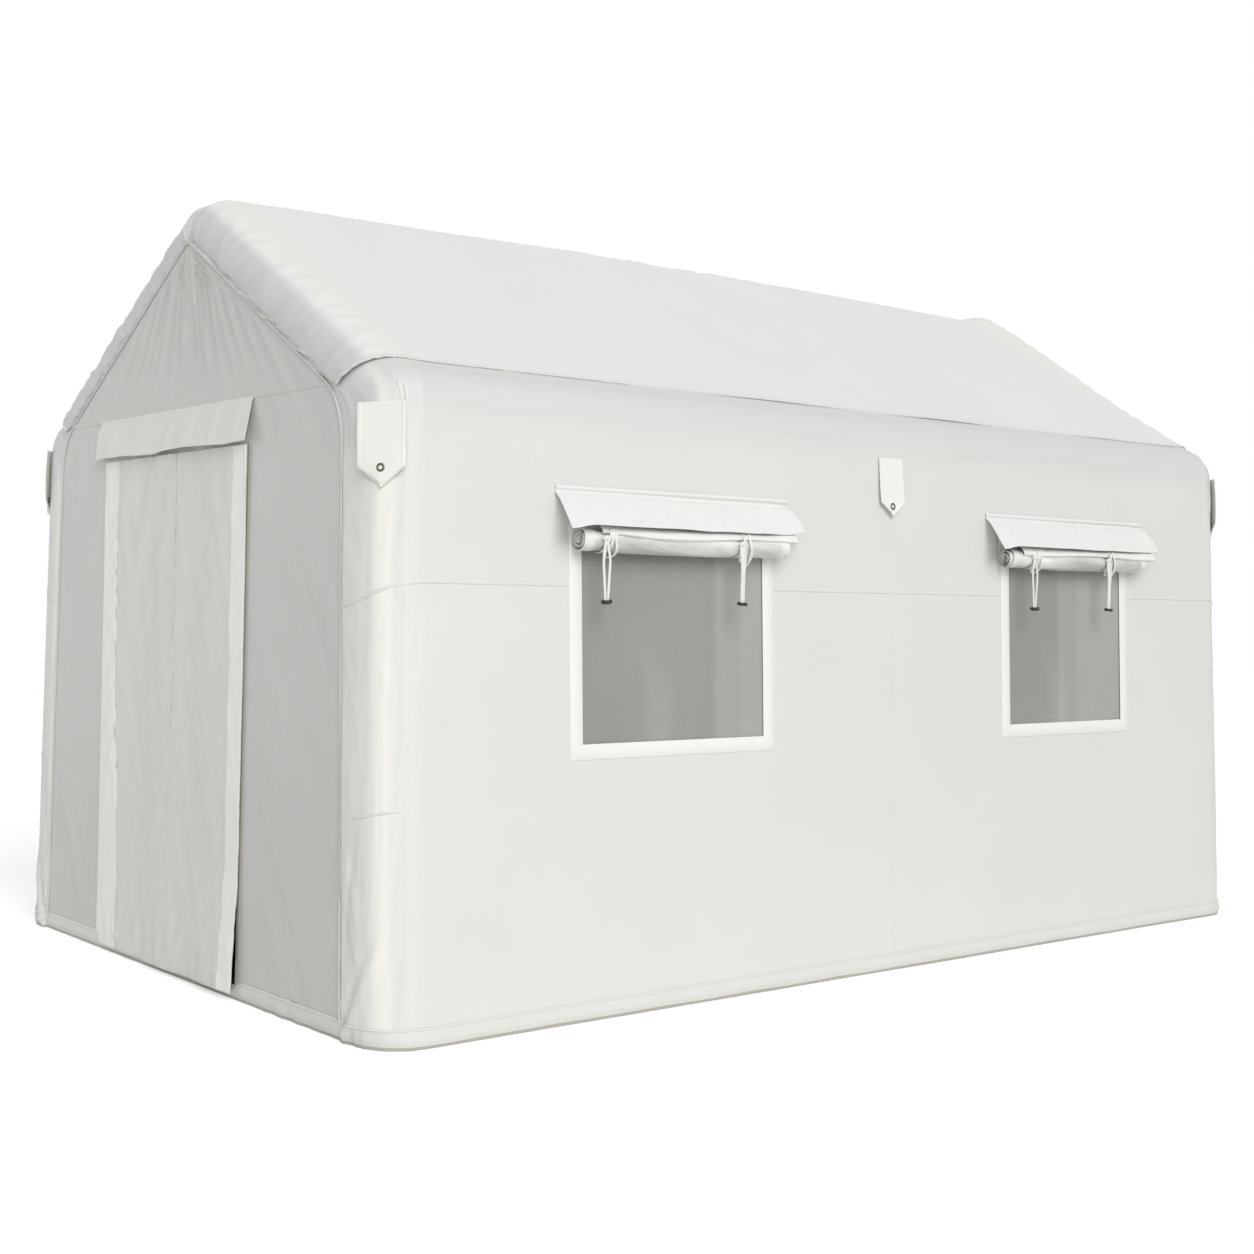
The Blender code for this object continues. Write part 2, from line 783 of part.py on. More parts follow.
def make_valves(materials):
    """Screw valve with a turning cap on the left leg, and a relief valve on the right leg."""
    seat = touch_gap + gable_lean_share * valve_flange
    frames = {}
    for side, name in ((-1, "inflation_valve_frame"), (1, "relief_valve_frame")):
        frames[side] = wall_frame(name, valve_spot(side) - Vector((0, seat, 0)), (1, 0, 0), (0, 0, 1))
    body = (
        (0, 0), (valve_flange, 0), (valve_flange, valve_flange_thickness),
        (valve_neck, valve_flange_thickness), (valve_neck, valve_length), (valve_bore, valve_length),
        (valve_bore, valve_membrane), (0, valve_membrane),
    )
    place("inflation_valve_body", turned_solid(body, turned_sides), materials["toggle"], frames[-1],
          smooth_degrees=smooth_limit_degrees)
    inside = valve_neck + cap_clearance
    outside = inside + cap_wall
    under = valve_length + touch_gap
    skirt = under - cap_skirt
    cap = (
        (0, under), (inside, under), (inside, skirt), (outside, skirt),
        (outside, under), (inside, under + cap_wall), (0, under + cap_wall),
    )
    place("inflation_valve_cap", turned_solid(cap, turned_sides), materials["toggle"], frames[-1],
          smooth_degrees=smooth_limit_degrees)
    head = relief_length - valve_flange_thickness
    relief = (
        (0, 0), (valve_flange, 0), (valve_flange, valve_flange_thickness),
        (relief_neck, valve_flange_thickness), (relief_neck, head * half_share),
        (relief_head, head * half_share + valve_flange_thickness), (relief_head, head),
        (relief_neck, relief_length), (0, relief_length),
    )
    place("relief_valve", turned_solid(relief, turned_sides), materials["toggle"], frames[1],
          smooth_degrees=smooth_limit_degrees)


def make_tent():
    for item in list(bpy.data.objects):
        bpy.data.objects.remove(item, do_unlink=True)
    cover = finish("cover_fabric", (0.78, 0.78, 0.76), 0.55)
    air = finish("air_tube_fabric", (0.66, 0.67, 0.66), 0.45)
    ground = finish("ground_sheet_fabric", (0.20, 0.20, 0.17), 0.60)
    metal = finish("eyelet_metal", (0.42, 0.39, 0.34), 0.35, 1)
    materials = {
        "cover": cover,
        "screen": finish("screen_mesh", (0.30, 0.30, 0.29), 0.80),
        "film": finish("clear_blind_film", (0.72, 0.72, 0.69), 0.20),
        "tape": finish("tie_tape", (0.86, 0.85, 0.82), 0.70),
        "toggle": finish("black_plastic", (0.02, 0.02, 0.02), 0.40),
        "metal": metal,
    }
    make_floor(ground)
    make_arches(air)
    make_beams(air)
    make_valves(materials)
    side_walls = make_cover(cover)
    gables = make_gables(cover)

    right_frame = wall_frame("right_wall_frame", (half_width, 0, 0), (0, 1, 0), (-side_lean_share, 0, 1))
    left_frame = wall_frame("left_wall_frame", (-half_width, 0, 0), (0, -1, 0), (side_lean_share, 0, 1))
    front = wall_frame("front_wall_frame", (0, -half_length, 0), (1, 0, 0), (0, gable_lean_share, 1))
    make_door(front, gables["front_wall"], cover)
    for side, frame, front_sign in (("right", right_frame, -1), ("left", left_frame, 1)):
        holes = []
        for end, sign, edges, ties in (
            ("front", front_sign, front_pane_edges, front_tie_places),
            ("rear", -front_sign, rear_pane_edges, rear_tie_places),
        ):
            centre = sign * window_offset
            make_window(frame, centre, f"{end}_{side}", edges, ties, materials)
            left, right = edges
            holes.append(box_solid(
                (centre + left, pane_bottom, -cut_overrun), (centre + right, pane_top, cut_overrun),
            ))
        cut(side_walls[side], joined(holes), frame)
        make_tab(
            f"middle_{side}", frame, middle_tab_top, middle_tab_width, middle_tab_length,
            middle_tab_shoulder, middle_tab_eyelet_rise, materials,
        )
    for side, side_sign in (("right", 1), ("left", -1)):
        for end, end_sign in (("front", -1), ("rear", 1)):
            frame = corner_frame(f"corner_frame_{end}_{side}", side_sign, end_sign)
            make_tab(
                f"{end}_{side}", frame, corner_tab_top, corner_tab_width, corner_tab_length,
                corner_tab_shoulder, corner_tab_eyelet_rise, materials,
            )


make_tent()
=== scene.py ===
import math

import bpy
from mathutils import Matrix, Vector, noise


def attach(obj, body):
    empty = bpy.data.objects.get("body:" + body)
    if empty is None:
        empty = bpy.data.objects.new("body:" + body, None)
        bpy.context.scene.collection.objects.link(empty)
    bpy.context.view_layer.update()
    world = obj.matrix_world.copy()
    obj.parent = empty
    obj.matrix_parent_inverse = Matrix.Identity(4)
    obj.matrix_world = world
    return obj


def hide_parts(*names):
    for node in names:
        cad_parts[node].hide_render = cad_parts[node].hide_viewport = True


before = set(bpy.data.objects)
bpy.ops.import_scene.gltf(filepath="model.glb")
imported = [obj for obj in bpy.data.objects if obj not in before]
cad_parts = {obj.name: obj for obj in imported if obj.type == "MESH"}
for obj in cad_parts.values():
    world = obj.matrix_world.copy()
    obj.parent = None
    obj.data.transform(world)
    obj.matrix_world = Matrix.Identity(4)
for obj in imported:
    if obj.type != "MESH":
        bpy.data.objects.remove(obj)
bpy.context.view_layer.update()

# ---- Studio: camera, soft daylight and a white floor ----
# The tent stands on a white floor in plain soft light, most of it from the front right and
# above. The camera is the one that was fitted to the photograph's corners and edges.
camera_turn = Matrix.Rotation(math.radians(50.956), 3, "Z")
camera_turn @= Matrix.Rotation(math.radians(90 - 0.6333), 3, "X")
camera_turn @= Matrix.Rotation(math.radians(0.7979), 3, "Z")
bpy.ops.object.select_all(action="DESELECT")
bpy.ops.object.camera_add(location=(5.6671, -4.7419, 1.2663), rotation=camera_turn.to_euler())
camera = bpy.context.object
camera.data.sensor_width = 36
camera.data.lens = 51.62
bpy.context.scene.camera = camera

key_direction = Vector((-0.795, 0.198, -0.574))
bpy.ops.object.light_add(
    type="SUN", location=(6, -3, 5), rotation=key_direction.to_track_quat("-Z", "Y").to_euler(),
)
key_light = bpy.context.object
key_light.data.energy = 1.84
key_light.data.angle = math.radians(40)
softboxes = (((6.1, -4.6, 2.2), (1.35, -1.6, 1.2), 45), ((-4.2, -5.4, 1.8), (-0.9, -2.1, 1.1), 32))
for spot, aim, power in softboxes:
    toward = Vector(aim) - Vector(spot)
    bpy.ops.object.light_add(type="AREA", location=spot, rotation=toward.to_track_quat("-Z", "Y").to_euler())
    softbox = bpy.context.object
    softbox.data.energy = power
    softbox.data.size = 2.5


def add_node(tree, kind, inputs=None, **settings):
    """A shader node of this kind, with these values on its inputs and these settings."""
    node = tree.nodes.new(f"ShaderNode{kind}")
    for entry, value in (inputs or {}).items():
        node.inputs[entry].default_value = value
    for setting, value in settings.items():
        setattr(node, setting, value)
    return node


def link(source, output, target, entry):
    """Joins one node's output to another's input."""
    source.id_data.links.new(source.outputs[output], target.inputs[entry])


studio_world = bpy.data.worlds.new("studio")
bpy.context.scene.world = studio_world
studio_world.use_nodes = True
sky = studio_world.node_tree
daylight = sky.nodes["Background"]
daylight.inputs["Color"].default_value = (1, 1, 1, 1)
daylight.inputs["Strength"].default_value = 0.36
backdrop = add_node(sky, "Background", {"Color": (1, 1, 1, 1), "Strength": 1})
sky_rays = add_node(sky, "LightPath")
seen = add_node(sky, "Math", operation="MAXIMUM")
link(sky_rays, "Is Camera Ray", seen, 0)
link(sky_rays, "Is Glossy Ray", seen, 1)
seen_through = add_node(sky, "Math", operation="MAXIMUM")
link(seen, "Value", seen_through, 0)
link(sky_rays, "Is Transmission Ray", seen_through, 1)
sky_mix = add_node(sky, "MixShader")
link(seen_through, "Value", sky_mix, "Fac")
link(daylight, "Background", sky_mix, 1)
link(backdrop, "Background", sky_mix, 2)
link(sky_mix, "Shader", sky.nodes["World Output"], "Surface")

bpy.ops.object.select_all(action="DESELECT")
bpy.ops.mesh.primitive_plane_add(size=60, location=(0, 0, -0.002))
floor = bpy.context.object
floor.name = "studio_floor"
floor_paint = bpy.data.materials.new("white_floor")
floor_paint.use_nodes = True
floor_tree = floor_paint.node_tree
floor_tree.nodes.remove(floor_tree.nodes["Principled BSDF"])
matt = add_node(floor_tree, "BsdfDiffuse", {"Color": (0.82, 0.82, 0.82, 1)})
glow = add_node(floor_tree, "Emission", {"Strength": 0.45})
bright = add_node(floor_tree, "AddShader")
link(matt, "BSDF", bright, 0)
link(glow, "Emission", bright, 1)
floor_rays = add_node(floor_tree, "LightPath")
lit_floor = add_node(floor_tree, "MixShader")
link(floor_rays, "Is Camera Ray", lit_floor, "Fac")
link(matt, "BSDF", lit_floor, 1)
link(bright, "Shader", lit_floor, 2)
link(lit_floor, "Shader", floor_tree.nodes["Material Output"], "Surface")
floor.data.materials.append(floor_paint)
bpy.context.scene.view_settings.view_transform = "Standard"

# ---- Roof cover ----
# One welded skin of off-white coated polyester that lies over the air frame from eave to
# eave. It rolls over the end arches and is sewn to the gables, where it gathers a little.
half_width = 1.350
half_length = 2.100
eave_height = 1.917
peak_height = 2.668
side_lean = 0.034
gable_lean = 0.011
wrap_radius = 0.1415
straight_half = half_length - wrap_radius
wrap_arc = wrap_radius * math.pi / 2
flat_wall, flat_roof = 0.094, 0.020
cover_end = straight_half + wrap_arc + flat_wall
eave_bend, ridge_bend = 0.120, 0.120
seam_eave_bend, seam_ridge_bend = 0.230, 0.050
cloth_thickness = 0.0012

wall_up = Vector((-side_lean, 1)).normalized()
wall_out = Vector((1, side_lean)).normalized()
roof_rise = (peak_height - eave_height) / (half_width - side_lean * eave_height)
roof_up = Vector((-1, roof_rise)).normalized()
roof_out = Vector((roof_rise, 1)).normalized()


def tapered(x, y, z):
    """The gables lean in, so places draw together lengthways as they rise."""
    return Vector((x, y * (1 - gable_lean * z / half_length), z))


def smooth(value, start, end):
    """0 before start, 1 after end, and an even ramp between them."""
    share = min(max((value - start) / (end - start), 0), 1)
    return share * share * (3 - 2 * share)


def bump(value, centre, width):
    """A smooth hump of height 1 at the centre, and 0 beyond the width to either side."""
    return smooth(abs(value - centre), width, 0) if abs(value - centre) < width else 0


def bend_between(corner, before, after, radius, share):
    """Place and outward direction at a share of the way round a bend."""
    turn = math.atan2(before.cross(after), before.dot(after))
    inward = Vector((-before.y, before.x))
    centre = corner - before * (radius * math.tan(turn / 2)) + inward * radius
    out = Matrix.Rotation(turn * share, 2) @ -inward
    return centre + out * radius, out


def section_spot(wall_inset, roof_inset, eave_radius, ridge_radius, level):
    """Place and outward direction on half a cross-section. Level 0 is the foot, 1 to 2 the eave's
    bend, 2 to 3 the slope and 3 to 4 half of the ridge's bend."""
    wall_point = Vector((half_width, 0)) - wall_out * wall_inset
    roof_point = Vector((0, peak_height)) - roof_out * roof_inset
    gap = roof_point - wall_point
    eave = wall_point + wall_up * (gap.cross(roof_up) / wall_up.cross(roof_up))
    ridge = Vector((0, roof_point.y + roof_rise * roof_point.x))
    turn = math.atan2(wall_up.cross(roof_up), wall_up.dot(roof_up))
    eave_reach = eave_radius * math.tan(turn / 2)
    roof_fall = Vector((-1, -roof_rise)).normalized()
    ridge_turn = math.atan2(roof_up.cross(roof_fall), roof_up.dot(roof_fall))
    ridge_reach = ridge_radius * math.tan(ridge_turn / 2)
    if level <= 1:
        foot = wall_point + wall_up * (0.0043 - wall_point.y) / wall_up.y
        return foot.lerp(eave - wall_up * eave_reach, level), wall_out
    if level <= 2:
        return bend_between(eave, wall_up, roof_up, eave_radius, level - 1)
    if level <= 3:
        start, end = eave + roof_up * eave_reach, ridge - roof_up * ridge_reach
        return start.lerp(end, level - 2), roof_out
    return bend_between(ridge, roof_up, roof_fall, ridge_radius, (level - 3) / 2)


def cover_spot(along, level, side=1):
    """Place and outward direction on the tight cover; along runs over its length and round its ends."""
    reach, end = abs(along), math.copysign(1, along)
    angle = min(max((reach - straight_half) / wrap_radius, 0), math.pi / 2)
    flat = max((reach - straight_half - wrap_arc) / flat_wall, 0)
    inset = wrap_radius * (1 - math.cos(angle))
    ridge_radius = ridge_bend + (seam_ridge_bend - ridge_bend) * (1 - math.cos(angle))
    place, out = section_spot(
        inset + flat_wall * flat, inset + flat_roof * flat,
        eave_bend + (seam_eave_bend - eave_bend) * flat, ridge_radius, level,
    )
    y = min(reach, straight_half) + wrap_radius * math.sin(angle)
    spot = tapered(side * place.x, end * y, place.y)
    return spot, Vector((side * out.x * math.cos(angle), end * math.sin(angle), out.y * math.cos(angle)))


def creases(across, along, spacing, length, seed):
    """Soft ridges that run lengthways, from 0 to 1."""
    spot = Vector((across / spacing, along / length, seed))
    return (1 - min(abs(noise.noise(spot)) * 2.6, 1)) ** 2


def swell(first, second, size, seed):
    """Broad, slow unevenness, from about -1 to 1."""
    return noise.noise(Vector((first / size, second / size, seed))) * 1.6


def lay_cloth(name, columns, rows, surface):
    """A fine grid of cloth whose points are moved onto a surface; its UV map is in metres."""
    bpy.ops.object.select_all(action="DESELECT")
    wide, high = len(columns) - 1, len(rows) - 1
    bpy.ops.mesh.primitive_grid_add(x_subdivisions=wide, y_subdivisions=high, size=2)
    piece = bpy.context.object
    piece.name = piece.data.name = name
    steps = [
        (round((v.co.x + 1) / 2 * wide), round((v.co.y + 1) / 2 * high)) for v in piece.data.vertices
    ]
    for vertex, (column, row) in zip(piece.data.vertices, steps):
        vertex.co = surface(columns[column], rows[row])
    weave = piece.data.uv_layers.active.data
    for loop in piece.data.loops:
        column, row = steps[loop.vertex_index]
        weave[loop.index].uv = (columns[column], rows[row])
    return piece


def spaced(*stops):
    """Even steps between stops, given as place, step, place, step, place."""
    places = [stops[0]]
    for start, step, end in zip(stops[::2], stops[1::2], stops[2::2]):
        count = max(1, round(abs(end - start) / step))
        places += [start + (end - start) * number / count for number in range(1, count + 1)]
    return places


def use(piece, kind, title, **settings):
    """Gives the piece a modifier with these settings and applies it."""
    bpy.context.view_layer.objects.active = piece
    modifier = piece.modifiers.new(title, kind)
    for setting, value in settings.items():
        setattr(modifier, setting, value)
    bpy.ops.object.modifier_apply(modifier=title)


def thicken(piece, thickness=cloth_thickness, offset=-1, even=True):
    """Makes a closed sheet of the piece and shades it smooth."""
    use(piece, "SOLIDIFY", "thickness", thickness=thickness, offset=offset, use_even_offset=even)
    bpy.ops.object.select_all(action="DESELECT")
    piece.select_set(True)
    bpy.ops.object.shade_smooth_by_angle(angle=math.radians(55))


def new_material(name, inputs):
    """A material with these values on its shader, and its node tree and shader."""
    material = bpy.data.materials.new(name)
    material.use_nodes = True
    shader = material.node_tree.nodes["Principled BSDF"]
    for entry, value in inputs.items():
        shader.inputs[entry].default_value = value
    return material, material.node_tree, shader


def noise_over(source, output, inputs, **settings):
    """A noise texture over the coordinates that another node gives."""
    cloud = add_node(source.id_data, "TexNoise", inputs, **settings)
    link(source, output, cloud, "Vector")
    return cloud


def colour_ramp(source, *stops):
    """Colours for another node's share, by stops of place and colour."""
    ramp = add_node(source.id_data, "ValToRGB")
    elements = ramp.color_ramp.elements
    for element, (place, colour) in zip((elements[0], elements[1]), (stops[0], stops[-1])):
        element.position = place
        element.color = (*colour, 1)
    for place, colour in stops[1:-1]:
        elements.new(place).color = (*colour, 1)
    link(source, "Fac", ramp, "Fac")
    return ramp


def tinted(colours, band, shade):
    """Another colour laid over the first where the band's share says so."""
    tint = add_node(colours.id_data, "MixRGB", {"Color2": (*shade, 1)})
    link(band, "Fac", tint, "Fac")
    link(colours, "Color", tint, "Color1")
    return tint


def raised(source, output, distance, strength, under=None):
    """A bump as high as another node says, on top of an earlier bump."""
    relief = add_node(source.id_data, "Bump", {"Distance": distance, "Strength": strength})
    link(source, output, relief, "Height")
    if under:
        link(under, "Normal", relief, "Normal")
    return relief


wave_length = 0.314      # of a wave texture whose scale is 1, in metres


def crossed_threads(place, size, operation, distortion=0.0):
    """The height of a plain weave over the cloth's own map, which is in metres."""
    height = add_node(place.id_data, "Math", operation=operation)
    for entry, direction in enumerate("XY"):
        wave = add_node(
            place.id_data, "TexWave", {"Scale": wave_length / size, "Distortion": distortion},
            bands_direction=direction,
        )
        link(place, "UV", wave, "Vector")
        link(wave, "Fac", height, entry)
    return height


def fabric(name, colour, roughness, weave_size=0.0012, weave_depth=0.00006, crinkle=0.0006,
           crinkle_size=0.05, tone=0.03, tints=(), wrinkle=0.0):
    """Coated cloth: a fine plain weave, soft crinkles, patches of folds and a slightly uneven colour."""
    material, tree, shader = new_material(
        name, {"Roughness": roughness, "IOR": 1.45, "Sheen Weight": 0.08, "Sheen Roughness": 0.5},
    )
    place = add_node(tree, "TexCoord")
    cloud = noise_over(place, "Object", {"Scale": 2.2, "Detail": 6})
    colours = colour_ramp(cloud, (0.3, [c * (1 - tone) for c in colour]), (0.7, colour))
    for attribute, shade in tints:
        colours = tinted(colours, add_node(tree, "Attribute", attribute_name=attribute), shade)
    link(colours, "Color", shader, "Base Color")
    weave = raised(crossed_threads(place, weave_size, "MULTIPLY", 0.6), "Value", weave_depth, 0.6)
    crumple = noise_over(place, "Object", {"Scale": 1 / crinkle_size, "Detail": 3, "Distortion": 0.4})
    crumpled = raised(crumple, "Fac", crinkle, 0.5, weave)
    fold = noise_over(
        place, "Object", {"Scale": 3.4, "Detail": 3, "Roughness": 0.45, "Distortion": 0.5},
        noise_type="RIDGED_MULTIFRACTAL",
    )
    patch = add_node(tree, "MapRange", {"From Min": 0.42, "From Max": 0.70})
    link(cloud, "Fac", patch, "Value")
    folds = add_node(tree, "Math", operation="MULTIPLY")
    link(fold, "Fac", folds, 0)
    link(patch, "Result", folds, 1)
    link(raised(folds, "Value", wrinkle, 0.6, crumpled), "Normal", shader, "Normal")
    return material


def dress(piece, material, body="tent", nodes=()):
    """The piece's cloth or finish, the body it moves with and the solids that it stands for."""
    piece.data.materials.clear()
    piece.data.materials.append(material)
    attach(piece, body)
    if nodes:
        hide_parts(*nodes)
    return piece


def paint(piece, name, value):
    """Stores a share at each point of a sheet, from its map in metres, for the cloth's colour."""
    layer = piece.data.attributes.new(name, "FLOAT", "POINT")
    weave = piece.data.uv_layers.active.data
    for loop in piece.data.loops:
        column, row = weave[loop.index].uv
        layer.data[loop.vertex_index].value = value(column, row)


# The cream tint is the posts' cream band with a painted highlight in it; the shade tint is painted shade
# under the roof's edge.
cover_cloth = fabric(
    "off_white_coated_cloth", (0.752, 0.746, 0.718), 0.50,
    tints=(("cream", (0.880, 0.860, 0.810)), ("shade", (0.655, 0.668, 0.662))), wrinkle=0.0040,
)
# The roof's cloth has its own cooler hue, and is made lighter than the walls' same cloth as painted light,
# for the extra light from above.
roof_cloth_with_painted_light = fabric(
    "roof_cloth_with_painted_light", (0.808, 0.819, 0.812), 0.50,
    # Cream tint: painted highlight along the top of each end roll. Shade tint: painted shade on each roll's
    # flat face.
    tints=(("cream", (0.822, 0.815, 0.786)), ("shade", (0.630, 0.638, 0.630))), wrinkle=0.0130,
)
roof_lap = 0.013         # how far the roof's edge hangs below its seam, as a share of the slope


def seam_rise(along):
    """How far up the slope the eave's seam runs, as a share; it arches over the end arches' shoulders."""
    reach = abs(along)
    arch = smooth(reach, straight_half - 0.10, straight_half + 0.12)
    return 0.056 + 0.016 * arch - 0.014 * smooth(reach, straight_half + 0.20, cover_end)


def roof_relief(along, level, side):
    """How far the roof stands out from the tight shape, in metres."""
    reach, y = abs(along), along
    front, rear = along < 0, along > 0
    to_seam = cover_end - reach
    slope = min(max(3 - level, 0), 1)
    # The ridge is high over the middle arch, lower in front of it and lifted by the rear arch.
    out = 0.012 * smooth(level, 2.3, 4) * (1 - smooth(reach, 0.7, 2.0))
    out -= 0.011 * smooth(level, 2.3, 4) * smooth(-along, 0.4, 1.3)
    out -= 0.014 * smooth(level, 2.6, 4) * smooth(reach, 1.72, 1.98) * front
    out += 0.014 * smooth(level, 2.9, 4) * smooth(reach, 1.84, 2.04) * rear * smooth(to_seam, 0, 0.16)
    shoulder = reach - straight_half
    out += 0.007 * bump(shoulder, 0.105, 0.085)
    fullness = 0.038 * smooth(level, 2.25, 2.92) * (1 - 0.56 * smooth(level, 3.0, 4.0))
    out += fullness * bump(shoulder, 0.07, 0.13) * rear
    # Swells and shallow creases between the arches, with puckers along the eave's seam.
    mid = (1 - smooth(reach, 1.5, 1.9)) * (1 - 0.6 * smooth(level, 2.85, 3.4))
    out += 0.0040 * swell(y, slope + side * 3, 0.55, 1.7) * mid
    patches = 0.15 + 0.85 * max(0, swell(y, slope * 0.5, 0.6, 8.4 + side))
    out += 0.0042 * creases(y + 0.25 * slope, slope, 0.085, 0.65, 4.1 + side) * mid * patches
    fine = creases(y - 0.5 * slope, slope, 0.050, 0.45, 14.1 + side) - 0.3
    out += 0.0024 * fine * mid * max(0, swell(y, slope, 0.45, 18.4 + side))
    puckers = creases(y, slope, 0.045, 0.30, 34.1 + side) - 0.3
    out += 0.0045 * puckers * smooth(slope, 0.22, 0.02) * mid
    # Long creases that fan out from the middle of the ridge.
    fan = math.atan2(y + 0.02, slope * 0.95 + 0.16)
    middle = math.hypot(y, slope * 0.95)
    out += 0.0085 * creases(fan, middle, 0.16, 0.9, 12.3 + side) * bump(middle, 0.18, 0.62) * (level > 1.99)
    out -= 0.0025 * bump(y, 0, 0.05) * mid
    # Gathers over the end rolls, closest towards the gable's seam, at the peak and at the corners.
    roll = smooth(reach, 1.88, 2.02)
    gather = smooth(reach, 1.90, 2.17)
    pleats = creases(slope * 1.05 + side, reach - straight_half, 0.060, 0.30, 21.5 + side) - 0.30
    out += 0.0066 * pleats * roll * (0.55 + 0.45 * gather) * smooth(to_seam, 0, 0.02)
    narrow = creases(slope * 1.05 + 0.35 * reach, reach, 0.033, 0.2, 31.5 + side) - 0.25
    out += 0.0050 * narrow * gather * (0.4 + max(0, swell(slope, reach, 0.25, 2.2)))
    peak = smooth(level, 2.86, 3.2)
    out += 0.0085 * (creases(level * 0.6 + side * 0.11, reach, 0.045, 0.25, 5.5) - 0.25) * peak * gather
    corner = 1 - smooth(level, 2.02, 2.16)
    drawn = creases(reach * 1.5 + level, level, 0.05, 0.3, 44.4 + side) - 0.3
    out += 0.0050 * drawn * corner * smooth(reach, 1.85, 2.02)
    out += 0.007 * math.sin(math.pi * smooth(reach, 2.0, cover_end)) ** 2 * roll
    return out * smooth(to_seam, -0.004, 0.03)


def roof_surface(along, row, proud=0.0):
    """A place on the finished roof; row runs from 2 at the right eave over 0 at the ridge to -2."""
    side = 1 if row >= 0 else -1
    level = 4 - abs(row)
    seam = 2 + seam_rise(along)
    if level < 3:
        level = seam - roof_lap + (level - 2) * (3 - seam + roof_lap)
    relief = roof_relief(along, level, side)
    if level > 3.2:
        across = (roof_relief(along, level, 1) + roof_relief(along, level, -1)) / 2
        relief += (across - relief) * smooth(level, 3.2, 4)
    # The roof never sinks into the wall's cloth, which ends a little above the seam.
    relief = max(relief, -0.0022 - 0.30 * max(level - seam - 0.010, 0))
    spot, out = cover_spot(along, level, side)
    return spot + out * (0.0016 + relief + proud)


def roll_highlight(along, row):
    """Painted highlight: the roof is drawn a little warmer along the top of each end roll, where the light
    catches it.
    """
    wrap = abs(along) - straight_half
    return 0.80 * smooth(wrap, -0.12, -0.02) * smooth(wrap, 0.11, 0.07)


def roll_shade(along, row):
    """Painted shade: the flat face of the roll, down to the gable's seam, turned away from the light, is
    drawn greyer.
    """
    return 0.95 * smooth(abs(along) - straight_half, 0.088, 0.128)


cover_columns = spaced(
    -cover_end, 0.009, -straight_half, 0.012, -1.80, 0.028, 1.80, 0.012, straight_half, 0.009, cover_end,
)
half_rows = spaced(2.0, 0.0115, 1.0, 0.12, 0)
roof = lay_cloth(
    "roof_cover_cloth", cover_columns, half_rows + [-row for row in half_rows[-2::-1]],
    roof_surface,
)
# Painted highlight along the top of each end roll.
paint(roof, "cream", roll_highlight)
# Painted shade on the roll's flat face.
paint(roof, "shade", roll_shade)
thicken(roof)
dress(roof, roof_cloth_with_painted_light, nodes=["roof_cover"])


# ---- Side walls ----
# Each is one cloth from the ground up over the eave bend, wrapped round the legs of the end
# arches to the gables. The windows are cut out of it and the roof laps over its top edge.
window_middle = 1.000
window_edges = {"front": (-0.387, 0.374), "rear": (-0.354, 0.336)}
pane_bottom, pane_top = 0.843, 1.545
foot = 0.0043
wall_run = (
    section_spot(0, 0, eave_bend, ridge_bend, 1)[0] - section_spot(0, 0, eave_bend, ridge_bend, 0)[0]
).length
bend_run = 0.12


def wall_level(height):
    """The level on the cross-section at a length up the wall and on over its bend."""
    if height < foot + wall_run:
        return (height - foot) / wall_run
    return 1 + (height - foot - wall_run) / bend_run


def calm_at_windows(y, height):
    """0 on the flat, stitched cloth round the windows and 1 away from it."""
    calm = 1
    for middle in (-window_middle, window_middle):
        beside = max(abs(y - middle) - 0.50, 0)
        above = max(0.78 - height, height - 1.66, 0)
        calm *= smooth(math.hypot(beside, above), 0, 0.14)
    return calm


